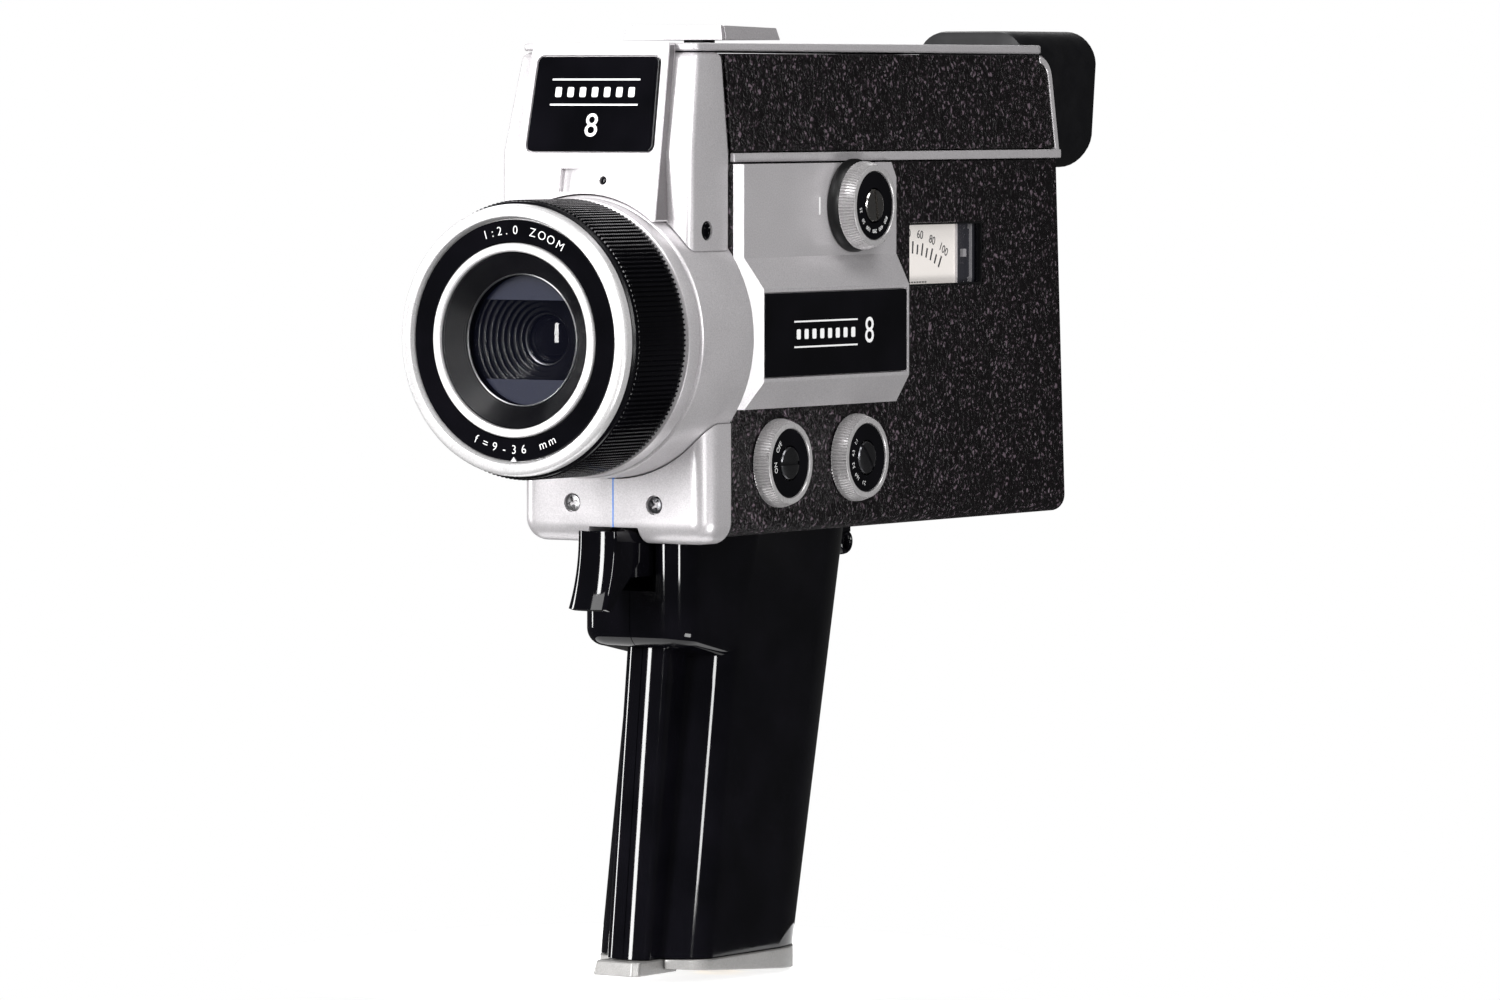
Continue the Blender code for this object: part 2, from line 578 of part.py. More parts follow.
def dial(name, centre, slot_turn):
    """A knob with a shaft, its face disc and the slotted screw in the middle."""
    profile = [(0, 2.6), (FACE_R + GAP, 2.6), (FACE_R + GAP, DIAL_HEIGHT), (8.9, DIAL_HEIGHT),
               (DIAL_R, 1.3), (DIAL_R, 0), (2.2, 0), (2.2, 21.0 - centre[0]), (0, 21.0 - centre[0])]
    turned(f"{name}_dial", centre, "side", profile, SILVER, SMALL_ROUND, closed=False)
    ring(f"{name}_dial_face", centre, "side", FACE_R, SCREW_R + GAP, 2.9, 3.4, GLOSS, SMALL_ROUND)
    screw = turned(f"{name}_dial_screw", centre, "side",
                   [(0, 4.0), (2.4, 3.95), (SCREW_R, 3.6), (SCREW_R, 2.9), (0, 2.9)], CHROME, SCREW_ROUND,
                   closed=False)
    slot = box(f"{name}_slot", (-4, -0.45, 3.45), (4, 0.45, 5), cutter=True)
    slot.matrix_world = place(centre, "side") @ Matrix.Rotation(slot_turn, 4, "Z")
    cut(screw, slot)


def dials():
    dial("filter", FILTER_DIAL, math.radians(10))
    dial("power", POWER_DIAL, math.radians(90))
    dial("ratio", RATIO_DIAL, math.radians(40))
    board = box("switch_board", (12.0, -9.0, 104.0), (13.6, 41.0, 177.0), BOARD)
    for index, (x, y, z) in enumerate((FILTER_DIAL, POWER_DIAL, RATIO_DIAL)):
        switch = box(f"switch_body_{index}", (13.0, y - 6, z - 6), (20.7, y + 6, z + 6), cutter=True)
        boolean(board, switch, "UNION")


def meter():
    low_z, high_z = 126.0, 168.0
    housing = box("meter_housing", (15.0, 44.0, low_z), (22.7, 92.0, high_z), MATTE)
    bevel(housing, 0.6, 1)
    pocket = box("meter_pocket", (21.4, 46.0, low_z + 2), (24, 90.0, high_z - 2), cutter=True)
    cut(housing, pocket, rod("meter_bore", (18, *NEEDLE_PIVOT[1:]), "side", 0.9, 6, segments=12, cutter=True))
    card_outline = rounded([(50.0, 148.0), (81.0, 148.0), (81.0, 165.6), (50.0, 165.6)], 0.5, 2)
    plate("meter_card", "side", card_outline, 21.7, 0.4, CARD)
    window_outline = rounded([(WINDOW_Y[0] + GAP, WINDOW_Z[0] + GAP), (WINDOW_Y[1] - GAP, WINDOW_Z[0] + GAP),
                              (WINDOW_Y[1] - GAP, WINDOW_Z[1] - GAP), (WINDOW_Y[0] + GAP, WINDOW_Z[1] - GAP)],
                             0.4, 2)
    plate("meter_window", "side", window_outline, 23.4, 0.8, GLASS)
    needle_outline = [(-0.9, -2.8), (0.9, -2.8), (0.9, 2), (0.18, 27.4), (-0.18, 27.4), (-0.9, 2)]
    needle = plate("meter_needle", "side", needle_outline, -0.1, 0.2, MATTE)
    pivot = rod("needle_pivot", (0, 0, 0), "side", 0.6, 3.2, segments=12, cutter=True)
    turn = Matrix.Translation(Vector(NEEDLE_PIVOT) * MM) @ Matrix.Rotation(-NEEDLE_REST, 4, "X")
    pivot.matrix_world = turn @ Matrix.Translation((-3.0 * MM, 0, 0)) @ AXIS["side"]
    needle.matrix_world = turn
    boolean(needle, pivot, "UNION")


# ---------------------------------------------------------------- top rocker and eyepiece
def zoom_rocker():
    low, high = ROCKER_LOW, ROCKER_TOP
    obj = box("zoom_rocker", (-ROCKER_HALF, ROCKER_Y[0], low), (ROCKER_HALF, ROCKER_Y[1], high), SILVER)
    for vert in obj.data.vertices:
        if vert.co.z > (low + 1) * MM and vert.co.y > 10 * MM:
            vert.co += Vector((0, -0.8, -0.5)) * MM
    bevel(obj, 0.6, 2)
    groove = box("rocker_groove", (ROCKER_HALF - 0.4, ROCKER_Y[0] + 1.0, 203),
                 (ROCKER_HALF + 1, ROCKER_Y[0] + 1.5, 212), cutter=True)
    stem = box("rocker_stem", (-2.6, 6.2, 199.3), (2.6, 10.8, low + 1), cutter=True)
    boolean(obj, stem, "UNION")
    cut(obj, groove)
    box("rocker_switch", (-7, 3, 192.5), (7, 14, 198.4), MATTE)


def eyepiece():
    ring("eyepiece_tube", (0, 0, EYE_Z), "rear", 8.0, 6.6, 108.0, 127.0, MATTE, SMALL_ROUND)
    turned("eyepiece_lens", (0, 0, EYE_Z), "rear",
           [(0, 124.6), (4, 124.2), (6.3, 123.2), (6.3, 121.6), (0, 121.6)], GLASS, SMALL_ROUND, closed=False)
    box("finder_display", (-6.5, 104.5, EYE_Z - 5), (6.5, 106.5, EYE_Z + 5), GLASS)
    low, high = EYECUP_Z
    centre = (low + high) / 2
    corners = [(-EYECUP_HALF, low), (EYECUP_HALF, low), (EYECUP_HALF, high), (-EYECUP_HALF, high)]
    front, rear = EYECUP_Y
    cup = loft("eyecup", [(x, front, z) for x, z in rounded(corners, 6.5, 5)],
               [(x, rear, z) for x, z in rounded(corners, 7.5, 5)], RUBBER)
    lean = math.tan(math.radians(4))
    for vert in cup.data.vertices:
        y, z = vert.co.y / MM, vert.co.z / MM
        if y > 140:
            vert.co.y = (rear - abs(z - (centre + 4)) ** 2 * 0.008 - (centre - z) * lean * 0.6) * MM
    inner = [(-EYECUP_HALF + 2.6, low + 2.6), (EYECUP_HALF - 2.6, low + 2.6),
             (EYECUP_HALF - 2.6, high - 2.6), (-EYECUP_HALF + 2.6, high - 2.6)]
    throat = [(x * 0.75, front + 5.5, centre + (z - centre) * 0.75) for x, z in rounded(inner, 5, 5)]
    mouth = [(x * 1.02, rear + 8, centre + (z - centre) * 1.02) for x, z in rounded(inner, 6, 5)]
    hollow = loft("eyecup_hollow", throat, mouth, cutter=True)
    cut(cup, hollow, rod("eyecup_bore", (0, 110, EYE_Z), "rear", 8.4, 30, cutter=True))


# ---------------------------------------------------------------- grip
def grip_section(rib_front, main_front, rear, wide, height):
    """Outline of the grip: a narrow front rib, then a wide oval that closes to a round back."""
    right = []
    for turn in (20, 45, 70, 90):
        angle = math.radians(turn)
        right.append((RIB_HALF * math.sin(angle), rib_front + 2.6 * (1 - math.cos(angle))))
    right.append((RIB_HALF, main_front + 0.8))
    for turn in (10, 30, 50, 70, 90):
        angle = math.radians(turn)
        right.append((RIB_HALF + (wide - RIB_HALF) * math.sin(angle), main_front + 8 * (1 - math.cos(angle))))
    for step in range(8):
        angle = math.radians(90 * step / 8)
        right.append((wide * math.cos(angle) ** 0.8, rear - 18 + 18 * math.sin(angle)))
    outline = [(0, rib_front)] + right + [(0, rear)] + [(-x, y) for x, y in reversed(right)]
    return [(x, y, height) for x, y in outline]


def grip_rear(height):
    """Y of the grip's rearmost line at a height."""
    return 35.1 + 0.2373 * (height - GRIP_LOW)


def grip_at(height):
    """The grip's section at a height: it leans back and flares towards the top."""
    rise = height - GRIP_LOW
    return grip_section(-22.3 + 0.118 * rise, -16.0 + 0.164 * rise, grip_rear(height),
                        14.4 - 0.0065 * rise, height)


def grip():
    cavity = loft("grip_hollow", main_oval(GRIP_LOW - 1, 2.4), main_oval(88.0, 2.4), cutter=True)
    corners = [(-BLOCK_HALF, BLOCK_FRONT), (BLOCK_HALF, BLOCK_FRONT), (BLOCK_HALF, 16.0), (-BLOCK_HALF, 16.0)]
    outline = rounded(corners, BLOCK_ROUND + 0.1, 4)
    block = loft("trigger_block", [(x, y, 72.0) for x, y in outline], [(x, y, 110.0) for x, y in outline],
                 cutter=True)
    for vert in block.data.vertices:
        x, y, z = vert.co / MM
        if z < 80:
            z -= 0.13 * (y + 15)
        if y > 5:
            y -= (GRIP_TOP - z) * 0.28
        vert.co = Vector((x, y, z)) * MM
    bevel(block, BLOCK_ROUND, 4, 60)
    top = box("grip_top_cut", (-40, -60, GRIP_TOP), (40, 80, 130), cutter=True)
    step = box("grip_front_cut", (-40, -60, FRONT_COVER_LOW - GAP), (40, BODY_FRONT + GAP, 130), cutter=True)
    slot = box("trigger_slot", (-6.9, -40, 84.6), (6.9, -4.0, 105), cutter=True)
    well = box("switch_well", (-9, -12, 84.6), (9, 8.0, 93.4), cutter=True)
    for side in ("left", "right"):
        shell = loft(f"grip_shell_{side}", grip_at(GRIP_LOW), grip_at(GRIP_TOP + 5), GLOSS)
        boolean(shell, block, "UNION")
        boolean(shell, HALF_SPACE[side], "INTERSECT")
        cut(shell, top, step, slot, well, cavity)


def main_oval(height, inset):
    rise = height - GRIP_LOW
    front, rear = -14.5 + 0.164 * rise + inset, grip_rear(height) - inset
    half = 14.4 - 0.0065 * rise - inset
    corners = [(-half, front), (half, front), (half, rear), (-half, rear)]
    return [(x, y, height) for x, y in rounded(corners, [6, 6, 9, 9], 4)]


def base_caps():
    section = [(x, y) for x, y, _ in grip_at(GRIP_LOW)]
    front_points = [(-5.9, -9.5), (-5.9, -25.2), (-5.3, -25.8), (4.6, -25.8), (5.9, -24.6), (5.9, -9.5)]
    front = plate("base_cap_front", "top", front_points, 0, 3.2, SILVER)
    bevel(front, 0.6, 2, 60)
    rear_points = [(x * 1.012, y) for x, y in section if y > -15.9 and abs(x) > 5.6 or y > 0]
    back = plate("base_cap_rear", "top", rear_points, 0, 3.2, SILVER)
    reshape(back, lambda x, y, z: (x, y, z if z > 1 else -BASE_SLOPE * y))
    bevel(back, 0.4, 1, 60)
    clear = box("front_cap_clear", (-6.2, -30, -2), (6.2, -9.2, 6), cutter=True)
    bush = rod("bush_space", (0, TRIPOD_Y, -4), "up", 5.3, 12, segments=32, cutter=True)
    cut(back, clear, bush)
    ring("tripod_bush", (0, TRIPOD_Y, 0), "up", 5.0, 3.25, -BASE_SLOPE * TRIPOD_Y, 8.0, BRASS, SMALL_ROUND)


def trigger():
    """A push-in trigger: a curved finger piece on a stem that slides in the grip's block."""
    arc_r = 34.0
    top, low = (-33.5, 98.3), (-37.4, 81.4)
    chord = Vector(low) - Vector(top)
    normal = Vector((-chord.y, chord.x)).normalized()
    if normal.x > 0:
        normal.negate()
    middle = (Vector(top) + Vector(low)) / 2
    centre = middle + normal * math.sqrt(arc_r ** 2 - (chord.length / 2) ** 2)
    start = math.atan2(top[1] - centre.y, top[0] - centre.x)
    end = math.atan2(low[1] - centre.y, low[0] - centre.x)
    front = [(centre.x + arc_r * math.cos(start + (end - start) * i / 8),
              centre.y + arc_r * math.sin(start + (end - start) * i / 8)) for i in range(9)]
    back = [(-34.6, 81.0), (-31.0, 84.6), (-26.5, 88.0), (-9.5, 88.0), (-9.5, 94.6), (-19.0, 94.6),
            (-19.0, 96.0), (-26.4, 98.3)]
    lever = plate("trigger", "side", front + back, -TRIGGER_HALF, 2 * TRIGGER_HALF, GLOSS)
    bevel(lever, 0.5, 2, 50)
    spring_seat = rod("spring_seat", (0, -13.5, 91.3), "rear", 2.3, 6, segments=16, cutter=True)
    cut(lever, spring_seat)
    spring("trigger_spring", (0, -13.0, 91.3), 1.7, 0.3, 12.0, 5)
    box("trigger_switch", (-5, 0.2, 86.0), (5, 6.5, 93.0), MATTE)


def spring(name, start, radius, wire, length, turns):
    """A compression spring along +Y, made as a wire swept along a helix."""
    curve = bpy.data.curves.new(name + "_path", "CURVE")
    curve.dimensions = "3D"
    curve.bevel_depth = wire * MM
    curve.bevel_resolution = 2
    curve.use_fill_caps = True
    count = turns * 8
    spline = curve.splines.new("POLY")
    spline.points.add(count)
    for index, point in enumerate(spline.points):
        angle = 2 * math.pi * turns * index / count
        point.co = ((start[0] + radius * math.cos(angle)) * MM, (start[1] + length * index / count) * MM,
                    (start[2] + radius * math.sin(angle)) * MM, 1)
    guide = bpy.data.objects.new(name + "_path", curve)
    PARTS.objects.link(guide)
    bpy.context.view_layer.update()
    mesh = bpy.data.meshes.new_from_object(guide.evaluated_get(bpy.context.evaluated_depsgraph_get()))
    bpy.data.objects.remove(guide, do_unlink=True)
    bm = bmesh.new()
    bm.from_mesh(mesh)
    bpy.data.meshes.remove(mesh)
    bmesh.ops.remove_doubles(bm, verts=bm.verts, dist=0.000002)
    bmesh.ops.scale(bm, vec=(1 / MM, 1 / MM, 1 / MM), verts=bm.verts)
    return smooth(finish(name, bm, STEEL))


# ---------------------------------------------------------------- inner pieces and fasteners
def inner_pieces():
    bevel(box("main_board", (5.0, 12.0, 104.0), (6.6, 100.0, 172.0), BOARD), 0.2, 1)
    lean = math.atan(0.19)
    cell = rod("battery", (0, 0, 0), "up", 9.1, 65.0, CELL, segments=28)
    cell.matrix_world = Matrix.Translation(Vector((0, 12.5, 14.0)) * MM) @ Matrix.Rotation(-lean, 4, "X")
    bevel(cell, 0.8, 2)


def strap_lug():
    centre_y, centre_z = 67.1, 91.6
    lug = rod("strap_lug", (-2.0, centre_y, centre_z), "side", 3.1, 4.0, GLOSS, segments=24)
    neck = box("lug_neck", (-1.9, centre_y - 1.8, centre_z), (1.9, centre_y + 1.8, BODY_BOTTOM - GAP),
               cutter=True)
    boolean(lug, neck, "UNION")
    cut(lug, rod("lug_eye", (-5, centre_y, centre_z), "side", 1.5, 10, segments=16, cutter=True))


main_shells()
upper_panels()
top_cover()
rear_panel()
front_housing()
front_panel()
lower_front_cover()
lens()
side_cover()
dials()
meter()
zoom_rocker()
eyepiece()
grip()
base_caps()
trigger()
inner_pieces()
strap_lug()
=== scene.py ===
"""Looks of the pistol-grip cine camera. Sizes are in millimetres; helpers turn them into metres."""

import json
import math

import bmesh
import bpy
from mathutils import Matrix, Vector


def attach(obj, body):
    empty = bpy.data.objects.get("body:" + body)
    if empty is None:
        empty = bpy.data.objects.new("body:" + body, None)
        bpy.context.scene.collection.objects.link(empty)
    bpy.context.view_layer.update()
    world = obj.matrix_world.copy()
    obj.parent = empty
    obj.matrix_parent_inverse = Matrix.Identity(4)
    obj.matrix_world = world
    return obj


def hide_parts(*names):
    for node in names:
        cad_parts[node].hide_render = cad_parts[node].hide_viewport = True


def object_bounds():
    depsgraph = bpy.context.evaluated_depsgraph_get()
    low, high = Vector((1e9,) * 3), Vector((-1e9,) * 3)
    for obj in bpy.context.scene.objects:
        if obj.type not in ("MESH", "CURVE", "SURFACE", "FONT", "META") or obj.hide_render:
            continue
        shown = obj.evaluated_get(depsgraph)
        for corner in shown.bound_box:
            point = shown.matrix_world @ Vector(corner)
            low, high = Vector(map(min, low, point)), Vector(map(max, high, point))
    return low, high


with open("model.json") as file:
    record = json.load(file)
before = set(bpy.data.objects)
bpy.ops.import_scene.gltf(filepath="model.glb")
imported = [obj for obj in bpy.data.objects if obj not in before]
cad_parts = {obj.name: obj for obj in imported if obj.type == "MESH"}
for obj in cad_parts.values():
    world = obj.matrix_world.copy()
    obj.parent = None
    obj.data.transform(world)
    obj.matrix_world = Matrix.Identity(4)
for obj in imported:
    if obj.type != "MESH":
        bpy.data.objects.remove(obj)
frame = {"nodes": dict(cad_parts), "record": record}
CAD_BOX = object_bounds()
MM = 0.001
GAP = 0.3
ROOT = "camera_body"
SIDES = ("left", -1), ("right", 1)

# ---------------------------------------------------------------- sizes shared with the solids
BODY_FRONT, BODY_HALF = -16.7, 25.0
SHELL_LOW, TAPER_START, SHELL_TOP, COVER_TOP = 96.8, 181.0, 202.6, 204.9
RAIL_LOW, RAIL_HIGH = 178.9, 180.9
LENS_Z = 140.8
DRUM_R = 31.0
FACE_R, SCREW_R = 7.6, 3.6
SIDE_COVER_FACE, PLATE_FACE = 27.2, 30.6
FILTER_DIAL = (29.8, 28.8, 169.0)
POWER_DIAL = (25.3, 1.1, 112.6)
RATIO_DIAL = (25.3, 32.8, 112.7)
NEEDLE_PIVOT = (22.45, 61.0, 131.5)
EYE_Z = 191.4
PANEL_TOP_Y, PANEL_SLOPE = -30.5, 0.2027
EMBLEM_Z, RECESS_Z = 191.6, 175.0
SIGHT = (BODY_HALF, -26.5, 164.1)
CHIN_SCREW_X, CHIN_SCREW_Z = 10.8, 104
WINDOW = (56.5, 150.3), (88.5, 164.7)
GRIP_FOOT, GRIP_HALF = 3.5, 14.4
TRIPOD = (0, 16, 0)


def body_half_at(z):
    if z <= TAPER_START:
        return BODY_HALF
    return BODY_HALF - (z - TAPER_START) * 2.0 / (COVER_TOP - TAPER_START)


def rear_at(z):
    return 125.6 - (z - SHELL_LOW) * 0.055


def panel_face(z):
    return PANEL_TOP_Y - (COVER_TOP - z) * PANEL_SLOPE


def grip_rear(z):
    return 35.1 + 0.2373 * (z - GRIP_FOOT)


def grip_half(z):
    return GRIP_HALF - 0.0065 * (z - GRIP_FOOT)


# ---------------------------------------------------------------- materials
class Shader:
    """A Principled material for one slot of the record, with short ways to build its nodes."""

    def __init__(self, name, slot, color, roughness, metallic=0.0, specular=0.5, **sockets):
        self.slot = slot
        self.mat = bpy.data.materials.new(name)
        self.mat.use_nodes = True
        self.mat.diffuse_color = (*color, 1)
        self.tree = self.mat.node_tree
        self.main = self.tree.nodes["Principled BSDF"]
        self.feed(self.main, Base_Color=(*color, 1), Roughness=roughness, Metallic=metallic,
                  Specular_IOR_Level=specular, **sockets)
        self.place = self.node("TexCoord").outputs["Object"]

    def fill(self, socket, value):
        if isinstance(value, bpy.types.NodeSocket):
            self.tree.links.new(value, socket)
        else:
            socket.default_value = value

    def feed(self, node, **inputs):
        """Give a node's inputs numbers, colours or the outputs of other nodes."""
        for key, value in inputs.items():
            self.fill(node.inputs[key.replace("_", " ")], value)
        return node

    def node(self, kind, **inputs):
        return self.feed(self.tree.nodes.new("ShaderNode" + kind), **inputs)

    def scaled(self, factors):
        """Object coordinates, stretched differently along each axis."""
        return self.node("Mapping", Scale=factors, Vector=self.place).outputs["Vector"]

    def noise(self, size, detail=2.0, roughness=0.5, vector=None, distortion=0.0):
        """Noise whose features are about size millimetres."""
        node = self.node("TexNoise", Scale=1 / (size * MM), Detail=detail, Roughness=roughness,
                         Distortion=distortion, Vector=vector or self.place)
        return node.outputs["Fac"]

    def cells(self, size, vector):
        """Distance to the edges of cells about size millimetres wide."""
        node = self.node("TexVoronoi", Scale=1 / (size * MM), Vector=vector)
        node.feature = "DISTANCE_TO_EDGE"
        return node.outputs["Distance"]

    def warped(self, size, amount):
        """Object coordinates shaken by up to amount millimetres, to make a pattern wander."""
        noise = self.node("TexNoise", Scale=1 / (size * MM), Vector=self.place)
        return self.maths("MULTIPLY_ADD", noise.outputs["Color"], (amount * MM,) * 3, self.place,
                          kind="VectorMath")

    def remap(self, value, low, high, to_low, to_high):
        node = self.node("MapRange", Value=value, From_Min=low, From_Max=high, To_Min=to_low,
                         To_Max=to_high)
        return node.outputs["Result"]

    def maths(self, operation, *values, kind="Math"):
        node = self.node(kind)
        node.operation = operation
        for socket, value in zip(node.inputs, values):
            self.fill(socket, value)
        return node.outputs[0]

    def colors(self, value, *stops):
        """Base colour from stops of (position, colour)."""
        node = self.node("ValToRGB", Fac=value)
        ramp = node.color_ramp
        while len(ramp.elements) < len(stops):
            ramp.elements.new(0.5)
        for element, (position, color) in zip(ramp.elements, stops):
            element.position = position
            element.color = (*color, 1)
        self.feed(self.main, Base_Color=node.outputs["Color"])

    def rough(self, value, low, high, to_low, to_high):
        self.feed(self.main, Roughness=self.remap(value, low, high, to_low, to_high))

    def bump(self, height, depth, strength=1.0):
        """Bump whose full height is depth millimetres."""
        node = self.node("Bump", Strength=strength, Distance=depth * MM, Height=height)
        self.feed(self.main, Normal=node.outputs["Normal"])
        return self

    def glow(self, color, strength):
        self.feed(self.main, Emission_Color=(*color, 1), Emission_Strength=strength)


def shade(tone, factor):
    return tuple(min(c * factor, 1) for c in tone)


def silver_paint(name, tone=(0.60, 0.58, 0.595), roughness=0.36, slot="silver"):
    made = Shader(name, slot, tone, roughness, 0.45)
    grain = made.noise(0.32, 3.0, 0.65)
    made.colors(grain, (0.25, shade(tone, 0.80)), (0.75, shade(tone, 1.16)))
    made.rough(made.noise(9.0), 0.3, 0.7, roughness - 0.05, roughness + 0.06)
    return made.bump(grain, 0.02, 0.3)


def gloss_black(name, roughness=0.05, slot="gloss_black"):
    made = Shader(name, slot, (0.003, 0.003, 0.004), roughness, 0.0, 0.3)
    made.colors(made.noise(14.0), (0.35, (0.0015, 0.0015, 0.0022)), (0.7, (0.003, 0.0028, 0.0042)))
    made.rough(made.noise(5.0, 3.0), 0.3, 0.75, roughness, roughness + 0.05)
    return made.bump(made.noise(12.0, 1.0), 0.03, 0.25)


def leatherette(name):
    """Pebbled grain: wandering cells with creases between them; the base colour follows the bump heights,
    with painted shade in the creases and painted glints on the ridge tops.
    """
    made = Shader(name, "leatherette", (0.004, 0.003, 0.0035), 0.4, 0.0, 0.4)
    pebbles = made.cells(1.6, made.warped(2.4, 2.2))
    worms = made.noise(1.9, 1.2, distortion=1.7)
    raised = made.remap(pebbles, 0.0, 0.3, 0.0, 1.0)
    height = made.maths("ADD", made.maths("MULTIPLY", raised, 0.35), made.maths("MULTIPLY", worms, 1.2))
    height = made.remap(height, 0.5, 1.3, 0.0, 1.0)
    # Colour by height: near black in the creases is painted shade, and the light stops on the ridge tops
    # are painted glints; the cells and worms themselves are the grain.
    made.colors(height, (0.3, (0.0016, 0.0008, 0.0013)), (0.46, (0.0045, 0.0026, 0.0038)),
                (0.57, (0.016, 0.0108, 0.0142)), (0.74, (0.13, 0.098, 0.120)))
    made.rough(made.noise(1.2, 3.0), 0.3, 0.7, 0.32, 0.5)
    return made.bump(height, 0.5)


def matte_black(name, tone, roughness, grain=0.25, slot="matte_black"):
    made = Shader(name, slot, tone, roughness, 0.0, 0.3)
    noise = made.noise(grain, 3.0, 0.6)
    made.colors(noise, (0.3, shade(tone, 0.7)), (0.7, shade(tone, 1.4)))
    made.rough(made.noise(4.0), 0.3, 0.7, roughness - 0.06, roughness + 0.08)
    return made.bump(noise, 0.03, 0.4)


def metal(name, slot, tone, roughness, stretch=None):
    """Plated or bare metal with fine tool marks, which stretch can draw out."""
    made = Shader(name, slot, tone, roughness, 1.0)
    marks = made.noise(0.35, 3.0, 0.6, made.scaled(stretch) if stretch else None)
    made.colors(marks, (0.3, shade(tone, 0.82)), (0.7, tone))
    made.rough(marks, 0.3, 0.7, roughness - 0.04, roughness + 0.07)
    return made.bump(marks, 0.01, 0.3)


def clear_glass(name, tint, alpha):
    made = Shader(name, "glass", tint, 0.02, 0.0, 0.6, Alpha=alpha)
    made.rough(made.noise(6.0, 3.0), 0.35, 0.8, 0.01, 0.05)
    made.colors(made.noise(8.0), (0.3, tint), (0.8, shade(tint, 1.2)))
    return made


def printed(name, tone, glow=0.0, slot="meter_card"):
    made = Shader(name, slot, tone, 0.45)
    grain = made.noise(0.12)
    made.colors(grain, (0.3, shade(tone, 0.9)), (0.7, tone))
    # glow makes the print emit its own colour: painted light, as print is no lamp.
    if glow:
        made.glow(tone, glow)
    return made.bump(grain, 0.01, 0.2)


SILVER = silver_paint("silver_paint")
# A darker copy of the silver paint for the base caps: painted shade that keeps them from washing out in the
# light off the floor.
SHADED_CAP_SILVER = silver_paint("shaded_cap_silver", (0.25, 0.245, 0.24))
KNOB = silver_paint("knurled_silver", (0.60, 0.585, 0.59), 0.28, "silver_knurled")
# A dark copy of the silver paint, laid as a thin film on the nose panel's side faces: painted shade and
# painted reflection along the groove between panel and housing.
PANEL_SIDE_SHADE = silver_paint("panel_side_shade", (0.13, 0.122, 0.126), 0.4)
BRIGHT = silver_paint("bright_satin", (0.74, 0.73, 0.735), 0.30)
GLOSS = gloss_black("gloss_black")
GRIP_GLOSS = gloss_black("gloss_grip", 0.03)
RIBBED = gloss_black("ribbed_black", 0.16, "matte_black")
KNURL = gloss_black("knurled_black", 0.22, "knurled_black")
LENS_BLACK = gloss_black("coated_lens", 0.02, "glass")
LEATHER = leatherette("leatherette")
RUBBER = matte_black("rubber", (0.0025, 0.0025, 0.0034), 0.5, 0.5, "rubber")
MATTE = matte_black("matte_black", (0.005, 0.005, 0.0055), 0.4)
BLUE_DARK = matte_black("baffle_blue", (0.006, 0.008, 0.022), 0.45)
BOARD = matte_black("circuit_board", (0.02, 0.10, 0.05), 0.45, 1.2, "circuit_board")
CELL = matte_black("battery_wrap", (0.04, 0.08, 0.25), 0.35, 2.0, "battery_wrap")
CHROME = metal("chrome", "chrome", (0.62, 0.60, 0.58), 0.16)
DARK_SCREW = metal("dark_screw", "steel", (0.16, 0.16, 0.17), 0.3, (1, 1, 8))
STEEL = metal("steel", "steel", (0.45, 0.45, 0.46), 0.3)
BRASS = metal("brass", "brass", (0.72, 0.52, 0.24), 0.32)
FRONT_GLASS = clear_glass("front_glass", (0.01, 0.012, 0.03), 0.05)
WINDOW_GLASS = clear_glass("window_glass", (0.2, 0.2, 0.24), 0.07)
# The scale card glows (0.22): painted light that brightens it behind the window.
CARD = printed("meter_card", (0.93, 0.88, 0.83), 0.22)
# The white print glows a little (0.12): painted light.
WHITE = printed("white_print", (0.84, 0.84, 0.84), 0.12)
INK = printed("black_ink", (0.01, 0.01, 0.01), slot="matte_black")
# The blue line glows (0.25): painted light.
BLUE = printed("blue_line", (0.05, 0.20, 0.62), 0.25, "silver")


# ---------------------------------------------------------------- pieces
def linked(name, data):
    obj = bpy.data.objects.new(name, data)
    bpy.context.scene.collection.objects.link(obj)
    return obj


def smooth(mesh, angle=32):
    """Smooth shading, with edges of more than angle kept sharp."""
    mesh.shade_smooth()
    mesh.set_sharp_from_angle(angle=math.radians(angle))


def mesh_from(bm, name, matrix=None):
    """A mesh in metres from a bmesh in millimetres, which is used up."""
    bmesh.ops.recalc_face_normals(bm, faces=bm.faces)
    bmesh.ops.scale(bm, vec=(MM, MM, MM), verts=bm.verts)
    if matrix is not None:
        bmesh.ops.transform(bm, matrix=matrix, verts=bm.verts)
    mesh = bpy.data.meshes.new(name)
    bm.to_mesh(mesh)
    bm.free()
    return mesh


def piece(name, bm, material, replaces=(), body=ROOT, matrix=None, angle=32):
    """Make a piece from a bmesh in millimetres, in the frame or moved there by matrix."""
    obj = linked(name, mesh_from(bm, name, matrix))
    obj.data.materials.append(material.mat)
    smooth(obj.data, angle)
    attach(obj, body)
    if replaces:
        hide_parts(*replaces)
    return obj


def settle(obj):
    """Apply all modifiers of a piece."""
    bpy.context.view_layer.update()
    graph = bpy.context.evaluated_depsgraph_get()
    mesh = bpy.data.meshes.new_from_object(obj.evaluated_get(graph))
    obj.modifiers.clear()
    old = obj.data
    obj.data = mesh
    bpy.data.meshes.remove(old)
    return obj


